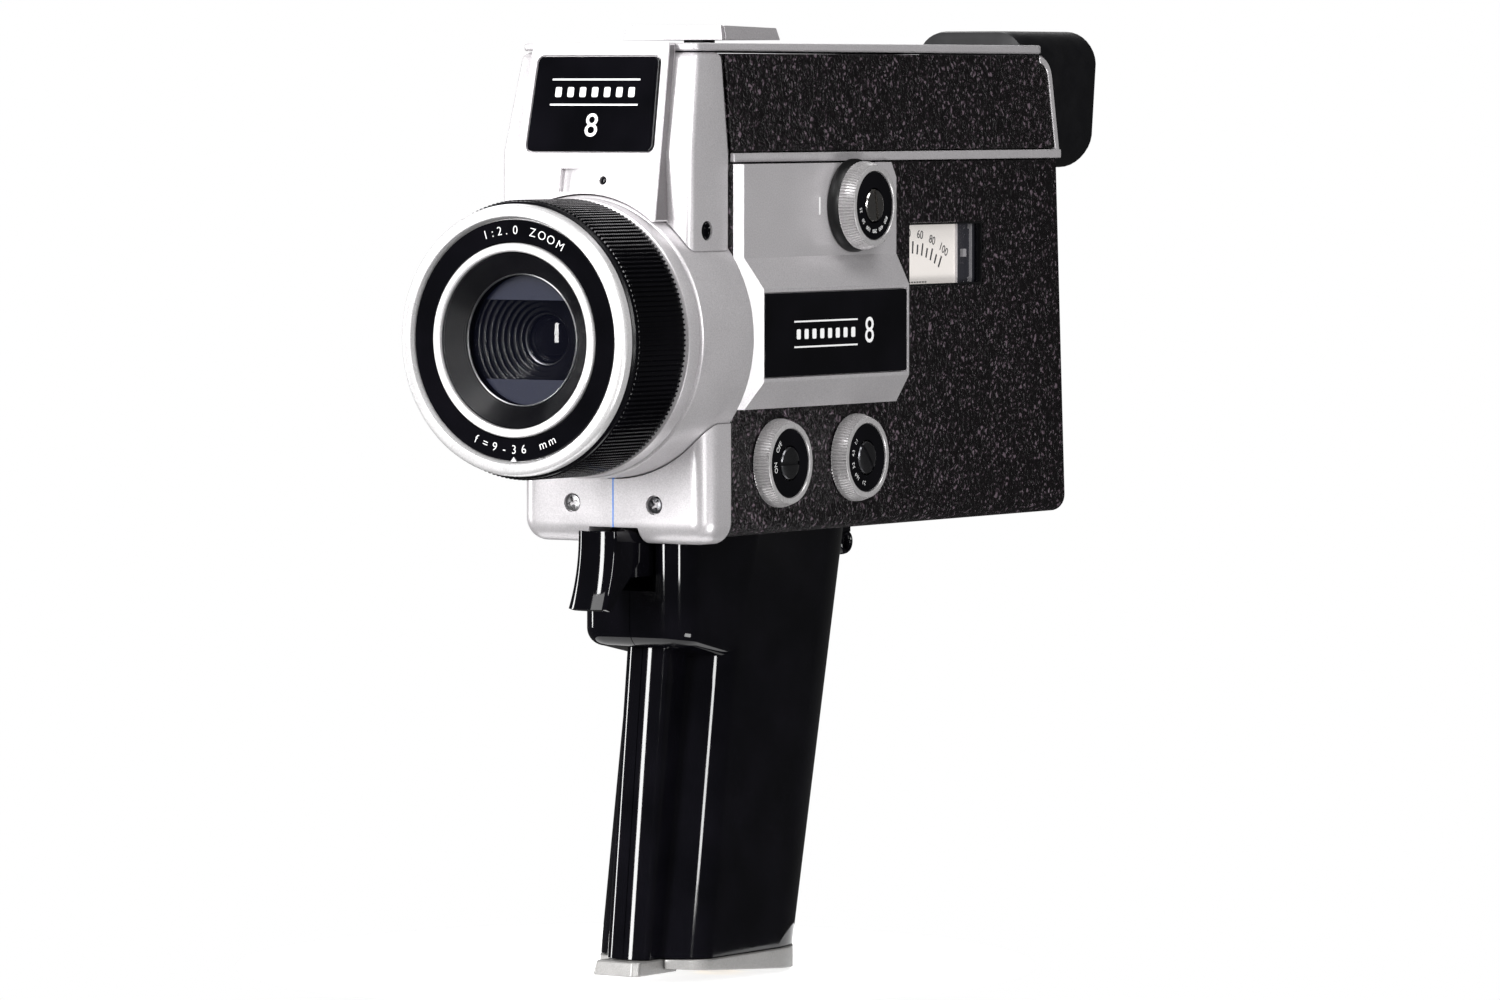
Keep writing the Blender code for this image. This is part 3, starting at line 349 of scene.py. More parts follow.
def cut(obj, *cutters, operation="DIFFERENCE", angle=32):
    """Cut a piece with bmeshes in millimetres and apply the result."""
    made = []
    for bm in cutters:
        cutter = linked("cutter", mesh_from(bm, "cutter"))
        cutter.data.shade_smooth()
        mod = obj.modifiers.new("cut", "BOOLEAN")
        mod.operation = operation
        mod.solver = "EXACT"
        mod.object = cutter
        made.append(cutter)
    settle(obj)
    for cutter in made:
        bpy.data.objects.remove(cutter, do_unlink=True)
    smooth(obj.data, angle)
    return obj


def bevel(obj, width, segments, angle):
    """A modifier that rounds the edges of more than angle."""
    mod = obj.modifiers.new("round", "BEVEL")
    mod.width = width * MM
    mod.segments = segments
    mod.limit_method = "ANGLE"
    mod.angle_limit = math.radians(angle)
    return mod


def soften(obj, width, segments=3, angle=32):
    """Round the edges of a piece; its flats stay flat."""
    for edge in obj.data.edges:
        edge.use_edge_sharp = False
    obj.data.shade_smooth()
    bevel(obj, width, segments, angle).harden_normals = True
    return obj


# ---------------------------------------------------------------- shapes in bmesh (millimetres)
FACING = {
    "side": Matrix(((0, 0, 1, 0), (1, 0, 0, 0), (0, 1, 0, 0), (0, 0, 0, 1))),
    "front": Matrix(((1, 0, 0, 0), (0, 0, -1, 0), (0, 1, 0, 0), (0, 0, 0, 1))),
    "top": Matrix.Identity(4),
}
AXIS = {
    "front": Matrix.Rotation(math.radians(90), 4, "X"),
    "rear": Matrix.Rotation(math.radians(-90), 4, "X"),
    "side": Matrix.Rotation(math.radians(90), 4, "Y"),
    "left": Matrix.Rotation(math.radians(-90), 4, "Y"),
    "up": Matrix.Identity(4),
}


def at(centre, axis="up"):
    """A placing matrix in metres for a shape whose own axis is z."""
    return Matrix.Translation(Vector(centre) * MM) @ AXIS[axis]


def rounded(points, radii, steps=6):
    """An outline with its corners rounded by arcs."""
    if not isinstance(radii, (list, tuple)):
        radii = [radii] * len(points)
    outline = []
    for index, corner in enumerate(points):
        radius = radii[index]
        corner = Vector(corner)
        if radius == 0:
            outline.append(tuple(corner))
            continue
        before = (Vector(points[index - 1]) - corner).normalized()
        after = (Vector(points[(index + 1) % len(points)]) - corner).normalized()
        half = before.angle(after) / 2
        centre = corner + (before + after).normalized() * radius / math.sin(half)
        start = corner + before * radius / math.tan(half) - centre
        end = corner + after * radius / math.tan(half) - centre
        sweep = start.angle_signed(end)
        for step in range(steps + 1):
            turn = -sweep * step / steps
            cos, sin = math.cos(turn), math.sin(turn)
            outline.append((centre.x + start.x * cos - start.y * sin,
                            centre.y + start.x * sin + start.y * cos))
    return outline


def rect(low, high):
    return [(low[0], low[1]), (high[0], low[1]), (high[0], high[1]), (low[0], high[1])]


def put(bm, matrix):
    """Place a millimetre bmesh by a matrix given in millimetres."""
    bmesh.ops.transform(bm, matrix=matrix, verts=bm.verts)
    return bm


def skin(bm, rows, closed=False):
    """Faces between neighbouring rows of vertices; closed joins the last row to the first."""
    for first, second in zip(rows, rows[1:] + (rows[:1] if closed else [])):
        for i in range(len(first)):
            j = (i + 1) % len(first)
            corners = list(dict.fromkeys((first[i], first[j], second[j], second[i])))
            if len(corners) > 2:
                bm.faces.new(corners)


def slab(outline, facing, level, thickness, levels=()):
    """A flat outline with thickness; levels adds edge loops at heights, for later bending."""
    bm = bmesh.new()
    loops = [[bm.verts.new((x, y, depth)) for x, y in outline] for depth in (level, level + thickness)]
    bm.faces.new(reversed(loops[0]))
    bm.faces.new(loops[1])
    skin(bm, loops)
    put(bm, FACING[facing])
    for height in levels:
        geometry = bm.verts[:] + bm.edges[:] + bm.faces[:]
        bmesh.ops.bisect_plane(bm, geom=geometry, dist=0.002, plane_co=(0, 0, height), plane_no=(0, 0, 1))
    return bm


def bend(bm, rule):
    for vert in bm.verts:
        vert.co = Vector(rule(*vert.co))
    return bm


def block(low, high):
    return slab(rect(low[:2], high[:2]), "top", low[2], high[2] - low[2])


def lathe(profile, steps=96, closed=True, ripple=None):
    """Turn (radius, height) points about z; ripple(point index, step) scales the radius."""
    bm = bmesh.new()
    rows = []
    for index, (radius, height) in enumerate(profile):
        if radius == 0:
            rows.append([bm.verts.new((0, 0, height))] * steps)
            continue
        row = []
        for step in range(steps):
            turn = 2 * math.pi * step / steps
            r = radius * (ripple(index, step) if ripple else 1.0)
            row.append(bm.verts.new((r * math.cos(turn), r * math.sin(turn), height)))
        rows.append(row)
    skin(bm, rows, closed)
    return bm


def disc(radius, low, high, steps=64):
    return lathe([(0, low), (radius, low), (radius, high), (0, high)], steps, closed=False)


def moved(bm, matrix):
    """Place a millimetre bmesh by a matrix given in metres."""
    place = matrix.copy()
    place.translation = place.translation / MM
    return put(bm, place)


def loft(sections, closed=False):
    """Skin loops of (x, y, z) with equally many points; the ends are capped or joined."""
    bm = bmesh.new()
    rows = [[bm.verts.new(point) for point in loop] for loop in sections]
    skin(bm, rows, closed)
    if not closed:
        bm.faces.new(reversed(rows[0]))
        bm.faces.new(rows[-1])
    return bm


def merged(parts):
    """Several bmeshes as one."""
    whole = bmesh.new()
    for bm in parts:
        mesh = bpy.data.meshes.new("part")
        bm.to_mesh(mesh)
        bm.free()
        whole.from_mesh(mesh)
        bpy.data.meshes.remove(mesh)
    return whole


def glyphs(text, size, depth=0.05, thin=0.0):
    """Text as a thin centred solid: x along the words, y up, z out of the page."""
    curve = bpy.data.curves.new("glyphs", "FONT")
    curve.body = text
    curve.size = size
    curve.align_x = "CENTER"
    curve.align_y = "CENTER"
    curve.extrude = depth / 2
    curve.offset = -thin * size
    curve.resolution_u = 4
    guide = linked("glyphs", curve)
    bpy.context.view_layer.update()
    mesh = bpy.data.meshes.new_from_object(guide.evaluated_get(bpy.context.evaluated_depsgraph_get()))
    bpy.data.objects.remove(guide, do_unlink=True)
    bm = bmesh.new()
    bm.from_mesh(mesh)
    bpy.data.meshes.remove(mesh)
    return bm


def dial_marks(entries, radius, size, level, thin=0.014, lean=-90):
    """Words around a centre, from (text, degrees); lean -90 puts their feet inward, 90 outward."""
    parts = []
    for text, degrees in entries:
        turn = math.radians(degrees)
        spot = Matrix.Translation((radius * math.cos(turn), radius * math.sin(turn), level))
        spin = Matrix.Rotation(turn + math.radians(lean), 4, "Z")
        parts.append(put(glyphs(text, size, thin=thin), spot @ spin))
    return merged(parts)


# ---------------------------------------------------------------- body, skins and trim
def body_shells():
    for side, sign in SIDES:
        half_top = body_half_at(SHELL_TOP) - 1
        corners = [(0.15, SHELL_LOW), (BODY_HALF, SHELL_LOW), (BODY_HALF, 178.6), (24, 178.6),
                   (24, TAPER_START), (half_top, SHELL_TOP), (0.15, SHELL_TOP)]
        outline = rounded(corners, [0, 4, 0, 0, 0, 0, 0], 8)
        bm = slab([(sign * x, z) for x, z in outline], "front", -125, 125 - BODY_FRONT)
        bend(bm, lambda x, y, z: (x, y if y < 40 else rear_at(z), z))
        obj = piece(f"body_shell_{side}", bm, LEATHER, [f"main_shell_{side}"])
        bevel(obj, 2.0, 5, 60)
        settle(obj)
        if side == "right":
            cut(obj, slab(rounded(rect(*WINDOW), 0.5, 3), "side", 21.5, 8))
        smooth(obj.data)


def upper_skins():
    for side, sign in SIDES:
        low, high = RAIL_HIGH + GAP, SHELL_TOP
        corners = [(BODY_FRONT + GAP, low), (rear_at(low) - 0.5, low), (rear_at(high) - 0.5, high),
                   (BODY_FRONT + GAP, high)]
        outline = rounded(corners, [0.5, 0.5, 4.2, 0.5])
        bm = slab(outline, "side", 0, 0.7)
        bend(bm, lambda x, y, z: (sign * (body_half_at(z) - 0.7 + x), y, z))
        soften(piece(f"upper_skin_{side}", bm, LEATHER, [f"upper_leather_{side}"]), 0.25, 2, 50)
        rail_end, top = rear_at(RAIL_LOW), 202.4
        parts = [slab(rect((-16.4, RAIL_LOW), (rail_end + 1.4, RAIL_HIGH)), "side", 24.3, 1.2)]
        outer = [(rail_end + 1.4, RAIL_LOW + 0.2)]
        inner = [(rail_end - 0.3, RAIL_LOW + 0.2)]
        centre_y, centre_z = rear_at(top) - 3.6, top - 5.0
        for step in range(9):
            turn = math.radians(90 * step / 8)
            for edge, radius in ((outer, 5.0), (inner, 3.3)):
                edge.append((centre_y + radius * math.cos(turn), centre_z + radius * math.sin(turn)))
        upright = slab(outer + inner[::-1], "side", 0, 1)
        bend(upright, lambda x, y, z: (19.5 if x < 0.5 else body_half_at(z) + 0.2, y, z))
        parts.append(upright)
        bm = bend(merged(parts), lambda x, y, z: (sign * x, y, z))
        soften(piece(f"trim_{side}", bm, SILVER, [f"side_trim_{side}"]), 0.3, 3, 40)


def top_cover():
    low, front, rear = SHELL_TOP + GAP, -27.6, rear_at(COVER_TOP) + 1.2
    outline = rounded([(-23, front), (23, front), (23, rear), (-23, rear)], [1.6, 1.6, 5, 5], 8)
    bm = slab(outline, "top", low, COVER_TOP - low)
    bend(bm, lambda x, y, z: (x, y, z + (GAP if y < -20 and z < low + 0.1 else 0)))
    soften(piece("cover_top", bm, SILVER, ["top_cover"]), 0.55, 4)


# ---------------------------------------------------------------- front covers
def drum_space():
    """A cutter that clears the lens drum."""
    return moved(disc(DRUM_R + GAP, -60, 90, 128), at((0, 0, LENS_Z), "front"))


def front_housing():
    high = SHELL_TOP + GAP
    outline = [(BODY_FRONT - GAP, 158.4), (BODY_FRONT - GAP, high), (-27.8, high), (-32.7, TAPER_START),
               (-32.9, 158.4)]
    bm = slab(outline, "side", -BODY_HALF, 2 * BODY_HALF, [TAPER_START])
    bend(bm, lambda x, y, z: (math.copysign(body_half_at(z), x), y, z))
    obj = piece("housing", bm, SILVER, ["front_housing"])
    bevel(obj, 1.7, 6, 50)
    settle(obj)
    sight = at(SIGHT, "side")
    cut(obj, drum_space(), moved(disc(2.15, -1.6, 3, 40), sight))
    plug = [(2.0, -1.4), (2.0, -0.35), (1.7, -0.2), (1.45, -0.35), (1.2, -1.0), (0, -1.1), (0, -1.4)]
    piece("sight_plug", lathe(plug, 40, closed=False), GLOSS, matrix=sight)


def on_panel(z):
    """A place on the sloping front panel, turned to lie flat on it."""
    return at((0, panel_face(z), z)) @ Matrix.Rotation(-math.atan(PANEL_SLOPE), 4, "X")


def plate_outline(grow):
    return rounded([(-16.7 - grow, -10.6 - grow), (16.7 + grow, -10.6 - grow), (16.0 + grow, 10.6 + grow),
                    (-16.0 - grow, 10.6 + grow)], 1.6 + grow, 6)


def front_panel():
    radius, foot = DRUM_R + GAP, 166.2
    start = math.asin((foot - LENS_Z) / radius)
    arch = []
    for step in range(41):
        angle = math.pi - start - (math.pi - 2 * start) * step / 40
        arch.append((radius * math.cos(angle), LENS_Z + radius * math.sin(angle)))
    outline = [(17.8, COVER_TOP), (-17.8, COVER_TOP), (-19.15, foot)] + arch + [(19.15, foot)]
    slant_top = SHELL_TOP + 2 * GAP
    bm = slab(outline, "front", 0, 1, [TAPER_START, slant_top])

    def back(z):
        if z >= slant_top - 0.01:
            return -28.2
        if z >= TAPER_START:
            return -28.2 - 4.85 * (slant_top - z) / (slant_top - TAPER_START)
        return -33.05 - (TAPER_START - z) * 0.01

    bend(bm, lambda x, y, z: (x, panel_face(z) if y < -0.5 else back(z), z))
    obj = piece("nose_panel", bm, SILVER, ["front_panel"])
    pocket = moved(slab(plate_outline(0.3), "front", -0.85, 4), on_panel(EMBLEM_Z))
    wedge = [(-6.8, 1.3), (-1.7, 0.0), (-1.7, -2), (-6.8, -2)]
    ramp = moved(slab(wedge, "top", -2.6, 5.2), on_panel(RECESS_Z))
    lamp = on_panel(RECESS_Z) @ at((4.5, 0, 0), "front")
    cut(obj, pocket, ramp, moved(disc(0.95, -1.2, 3, 32), lamp))
    soften(obj, 0.28, 3, 40)
    # Thin dark films on the panel's silver side faces: painted shade and painted reflection along the
    # groove to the housing.
    for side, sign in SIDES:
        low, high = 166.5, 204.4
        edge = [(panel_face(low) + 0.5, low), (back(low), low), (back(TAPER_START), TAPER_START),
                (-28.4, 203.3), (-28.4, high), (panel_face(high) + 0.5, high)]
        bm = slab(edge, "side", 0, 0.07)
        bend(bm, lambda x, y, z: (sign * (17.78 + (COVER_TOP - z) * 0.0349 + x), y, z))
        piece(f"nose_side_shade_{side}", bm, PANEL_SIDE_SHADE)
    # A matte black strip filling the gap between the panel's top and the cover: painted shadow.
    piece("top_gap_shadow", block((-17.5, -28.16, 204.3), (17.5, -27.7, 204.88)), MATTE)
    bead = lathe([(0.8, -1.1), (0.8, -0.45), (0.4, -0.2), (0, -0.15), (0, -1.1)], 24, closed=False)
    piece("pilot_lamp", bead, GLOSS, matrix=lamp)
    plate = moved(slab(plate_outline(-0.05), "front", -0.55, 0.75), on_panel(EMBLEM_Z))
    soften(piece("nose_plate", plate, GLOSS, ["front_plate"]), 0.3)
    marks = merged([put(film_strip(23.0), Matrix.Translation((0, 2.6, 0))),
                    put(glyphs("8", 7.4), Matrix.Translation((0, -5.0, 0)))])
    piece("nose_marks", marks, WHITE, matrix=on_panel(EMBLEM_Z) @ at((0, -0.2, 0), "front"))


def film_strip(length, height=5.6, pitch=3.2):
    """A plain film-strip emblem: two rules with a row of perforations between them."""
    flats = [rect((-length / 2, y - 0.18), (length / 2, y + 0.18)) for y in (-height / 2, height / 2)]
    count = int(length / pitch)
    for index in range(count):
        x = (index - (count - 1) / 2) * pitch
        flats.append(rounded(rect((x - 0.8, -1.1), (x + 0.8, 1.1)), 0.35, 4))
    return merged([slab(flat, "top", 0, 0.05) for flat in flats])


def lower_cover():
    outline = rounded(rect((-BODY_HALF, 95.4), (BODY_HALF, 150)), [5.0, 5.0, 0, 0], 10)
    bm = slab(outline, "front", -BODY_FRONT + GAP, 26 + BODY_FRONT - GAP)
    obj = piece("chin_cover", bm, SILVER, ["lower_front_cover"])
    bevel(obj, 4.4, 10, 60).limit_method = "WEIGHT"
    chosen = obj.data.attributes.new("bevel_weight_edge", "FLOAT", "EDGE")
    for edge in obj.data.edges:
        ends = [obj.data.vertices[i].co / MM for i in edge.vertices]
        chosen.data[edge.index].value = 1.0 if all(end.y < -25.9 for end in ends) else 0.0
    settle(obj)
    notch = slab([(-7.6, 90), (7.6, 90), (6.4, 98.9), (-6.4, 98.9)], "front", 10, 30)
    top = block((-40, -60, 121.9), (40, 0, 170))
    seats = [moved(disc(2.15, -1.0, 3, 40), at((sign * CHIN_SCREW_X, -26, CHIN_SCREW_Z), "front"))
             for _, sign in SIDES]
    cut(obj, top, drum_space(), notch, *seats)
    soften(obj, 0.22, 2, 40)
    piece("centre_line", block((-0.16, -26.04, 98.95), (0.16, -25.5, 110.2)), BLUE)
    for (side, sign), turn, material in zip(SIDES, (20, 38), (STEEL, DARK_SCREW)):
        cross_screw(f"chin_screw_{side}", (sign * CHIN_SCREW_X, -25.05, CHIN_SCREW_Z), "front", 1.9, 0.8,
                    turn, material, [f"front_screw_{side}"])


def cross_screw(name, centre, axis, radius, head, turn=0, material=DARK_SCREW, replaces=()):
    profile = [(0, head), (radius * 0.6, head * 0.97), (radius * 0.86, head * 0.8), (radius, head * 0.4),
               (radius, -0.05), (radius * 0.5, -0.05), (radius * 0.5, -2.4), (0, -2.4)]
    place = at(centre, axis) @ Matrix.Rotation(math.radians(turn), 4, "Z")
    obj = piece(name, moved(lathe(profile, 40, closed=False), place), material, replaces)
    arm, half = radius * 0.74, radius * 0.2
    cut(obj, *[moved(block((-a, -b, head - 1.0), (a, b, head + 1)), place)
               for a, b in ((arm, half), (half, arm))])


# ---------------------------------------------------------------- lens
def knurled_ring():
    """Fine rows of small raised blocks around the zoom ring."""
    rows, columns = 168, 22
    low, high = 42.7, 60.9
    pitch = (high - low) / columns
    core = lathe([(29.65, 60.95), (30.0, 61.1), (29.9, 61.6), (29.4, 62.0), (26.5, 62.0), (26.5, 42.1),
                  (29.4, 42.1), (29.65, 42.4)], rows)
    blocks = bmesh.new()
    for row in range(rows):
        turn = 2 * math.pi * row / rows
        out = Vector((math.cos(turn), math.sin(turn), 0))
        along = Vector((-math.sin(turn), math.cos(turn), 0))
        for column in range(columns):
            middle = low + pitch * (column + 0.5)
            loops = [[blocks.verts.new(out * radius + along * a * wide + Vector((0, 0, middle + b * tall)))
                      for a, b in ((-1, -1), (1, -1), (1, 1), (-1, 1))]
                     for radius, wide, tall in ((29.6, 0.36, 0.36), (30.28, 0.2, 0.27))]
            blocks.faces.new(loops[1])
            skin(blocks, loops)
    return merged([core, blocks])


def stairs(count, radius, height, tread, drop, nose):
    """Rounded steps that go inward and down, as a profile."""
    points = []
    for step in range(count):
        r, h = radius - tread * step, height - drop * step
        points.append((r, h))
        for part in range(5):
            turn = math.radians(22.5 * part)
            points.append((r - tread + nose - nose * math.sin(turn), h - nose * (1 - math.cos(turn))))
    return points


def lens():
    front = at((0, 0, LENS_Z), "front")

    def turned(name, profile, material, replaces=(), steps=160, closed=True, angle=32):
        piece(name, lathe(profile, steps, closed), material, replaces, matrix=front, angle=angle)

    turned("drum", [(29.9, 41.8), (30.35, 41.62), (30.5, 41.3), (30.5, 37.75), (30.3, 37.55), (29.5, 37.55),
                    (29.5, 37.2), (30.1, 37.2), (30.6, 37.05), (30.9, 36.75), (DRUM_R, 36.3),
                    (DRUM_R, 17.0), (26.5, 17.0), (26.5, 41.8)], SILVER, ["lens_drum"])
    piece("zoom_grip", knurled_ring(), KNURL, ["zoom_ring"], "zoom_ring_body", front, 25)
    turned("bezel", [(26.7, 65.0), (26.85, 65.1), (28.2, 65.1), (28.75, 64.95), (29.15, 64.55),
                     (29.35, 64.0), (29.4, 63.4), (29.4, 62.3), (23.0, 62.3), (23.0, 63.2),
                     (26.2, 63.2)], BRIGHT, ["front_bezel"])
    turned("name_ring", [(26.05, 63.95), (25.9, 64.15), (21.35, 64.15), (21.3, 63.5), (26.05, 63.5)], GLOSS,
           ["lens_name_ring"])
    turned("inner_ring", [(20.9, 64.6), (20.7, 64.8), (19.5, 64.8), (19.2, 64.6), (19.1, 64.2),
                          (19.1, 63.2), (21.0, 63.2), (21.0, 64.4)], BRIGHT, ["lens_inner_ring"])
    ribs = stairs(11, 18.75, 64.0, 0.4, 0.3, 0.13)
    turned("ribbed_cone", [(18.8, 64.1), *ribs, (14.2, 60.6), (14.2, 60.5), (22.7, 60.5), (22.7, 62.75),
                           (18.85, 62.75)], RIBBED, ["lens_cone"], angle=30)
    turned("glass_seat", [(14.35, 61.1), (14.2, 61.2), (14.05, 61.1), (14.05, 60.75), (14.35, 60.75)],
           STEEL)
    turned("front_element", [(0, 60.3), (4, 60.25), (8, 60.1), (12, 59.85), (15.4, 59.55), (15.4, 58.9),
                             (0, 58.9)], FRONT_GLASS, ["front_glass"], closed=False)
    funnel = stairs(8, 14.0, 58.4, 1.0, 0.88, 0.22)
    turned("funnel", [*funnel, (5.75, 51.0), (5.6, 50.3), (23.2, 50.3), (23.2, 58.6), (14.1, 58.6)], RIBBED,
           ["lens_baffle"], angle=30)
    half, radius, edge = 12.0, 15.3, 8.6
    for side, sign in (("upper", 1), ("lower", -1)):
        arc = [(x, sign * math.sqrt(radius ** 2 - x ** 2)) for x in range(-12, 13)]
        outline = [(-half, sign * edge), *arc, (half, sign * edge)]
        bm = slab([(x, LENS_Z + z) for x, z in outline], "front", 58.05, 0.5)
        piece(f"baffle_{side}", bm, BLUE_DARK)
    turned("inner_element", [(0, 51.4), (1.5, 51.33), (3, 51.1), (4.3, 50.7), (5.2, 50.2), (5.2, 48.6),
                             (0, 48.6)], LENS_BLACK, ["inner_lens"], 64, closed=False)
    turned("inner_rim", [(5.9, 51.2), (5.7, 51.45), (5.4, 51.3), (5.3, 50.6), (5.9, 50.6)], DARK_SCREW,
           steps=64)
    notch = slab([(-0.8, 114.7), (0.8, 114.7), (0, 115.7)], "front", 64.1, 0.25)
    piece("bezel_notch", notch, BRIGHT)
    upper = [*zip("1:2.0", (108, 103.5, 99, 94.5, 89)), *zip("ZOOM", (78, 72, 66, 59.5))]
    lower = [(letter, 270 + (index - 4) * 6.2) for index, letter in enumerate("f=9-36 mm") if letter != " "]
    marks = merged([dial_marks(upper, 23.7, 2.7, 64.2), dial_marks(lower, 23.6, 2.7, 64.2, 0.012, 90)])
    piece("ring_marks", marks, WHITE, matrix=front)


# ---------------------------------------------------------------- side cover, dials and meter
def side_cover():
    low, high, inner = 124.8, 178.5, 25.3
    profile = [(inner, low), (SIDE_COVER_FACE, low), (PLATE_FACE, 130.8), (PLATE_FACE, 151.2),
               (SIDE_COVER_FACE, 158.0), (SIDE_COVER_FACE, high), (inner, high)]
    front, rear = BODY_FRONT + 0.1, 47.6
    obj = piece("flank_cover", slab(profile, "front", -rear, rear - front), SILVER, ["side_cover"])
    beyond = PLATE_FACE + 2
    run = 4.3 * (beyond - inner) / (PLATE_FACE - inner)
    slant = slab([(inner, front), (inner, front - 1), (beyond, front - 1), (beyond, front + run)], "top",
                 100, 100)
    corner = slab([(44.6, 180), (48.5, 180), (48.5, 173.6)], "side", 20, 20)
    pocket = block((PLATE_FACE - 0.6, -12.2, 131.6), (40, 46.8, 150.4))
    cut(obj, slant, corner, pocket)
    soften(obj, 0.3, 3, 20)
    outline = rounded(rect((-11.95, 131.85), (46.55, 150.15)), 0.5, 3)
    plate = slab(outline, "side", PLATE_FACE - 0.45, 0.5)
    soften(piece("flank_plate", plate, GLOSS, ["side_plate"]), 0.15, 2)
    marks = merged([put(film_strip(26.0), Matrix.Translation((-4.5, 0, 0))),
                    put(glyphs("8", 8.2), Matrix.Translation((13.5, 0, 0)))])
    piece("flank_marks", marks, WHITE, matrix=at((PLATE_FACE + 0.05, 17.3, 141.0)) @ FACING["side"])
    seat = [(8.9, 2.5), (9.5, 2.35), (9.9, 1.9), (10.4, 0.8), (10.4, 0), (2.6, 0), (2.6, 2.5)]
    piece("dial_seat", lathe(seat, 96), MATTE, ["filter_dial_seat"],
          matrix=at((SIDE_COVER_FACE + GAP, *FILTER_DIAL[1:]), "side"))
    mark = slab(rect((15.35, 167.1), (15.85, 171.0)), "side", SIDE_COVER_FACE - 0.02, 0.06)
    piece("index_mark", mark, WHITE)


def knob(name, centre, words, slot_turn, screw_material, text_size=1.25):
    place = at(centre, "side")
    body, inner = f"{name}_knob", 21.0 - centre[0]
    profile = [(FACE_R + 0.1, 2.7), (FACE_R + 0.1, 3.55), (7.85, 3.7), (8.75, 3.7), (8.95, 3.6),
               (9.05, 3.4), (9.75, 1.5), (9.8, 1.2), (9.8, 0.15), (9.6, 0), (2.4, 0), (2.4, inner),
               (0, inner), (0, 2.6)]

    def ripple(index, step):
        """Two of each four steps cut in, on the sloping side only."""
        return 0.96 if index in (5, 6, 7, 8) and step % 4 in (2, 3) else 1.0

    piece(f"{name}_knob", lathe(profile, 336, closed=False, ripple=ripple), KNOB, [f"{name}_dial"], body,
          place, 24)
    face = [(FACE_R, 3.25), (FACE_R - 0.15, 3.4), (SCREW_R + 0.35, 3.4), (SCREW_R + 0.3, 3.2),
            (SCREW_R + 0.3, 2.9), (FACE_R, 2.9)]
    piece(f"{name}_face", lathe(face), GLOSS, [f"{name}_dial_face"], body, place)
    head = [(0, 4.0), (1.8, 3.97), (2.9, 3.85), (3.4, 3.68), (SCREW_R, 3.4), (SCREW_R, 2.95), (0, 2.95)]
    screw = piece(f"{name}_screw", moved(lathe(head, 64, closed=False), place), screw_material,
                  [f"{name}_dial_screw"], body)
    turn = Matrix.Rotation(math.radians(slot_turn), 4, "Z")
    cut(screw, moved(block((-4, -0.42, 3.15), (4, 0.42, 5)), place @ turn))
    upright = place @ Matrix.Rotation(math.radians(90), 4, "Z")
    piece(f"{name}_marks", dial_marks(words, 5.65, text_size, 3.42), WHITE, body=body, matrix=upright)


def knobs():
    numbers = ("25", "50", "100", "200", "400", "800")
    filter_words = [(text, 190 + index * 27) for index, text in enumerate(numbers)]
    knob("filter", FILTER_DIAL, filter_words, 10, CHROME)
    knob("power", POWER_DIAL, [("ON", 188), ("OFF", 140)], 90, DARK_SCREW, 1.6)
    ratio_words = [("1:1", 140), ("4:3", 168), ("3:2", 196), ("16:9", 226), ("2:1", 258)]
    knob("ratio", RATIO_DIAL, ratio_words, 40, DARK_SCREW)


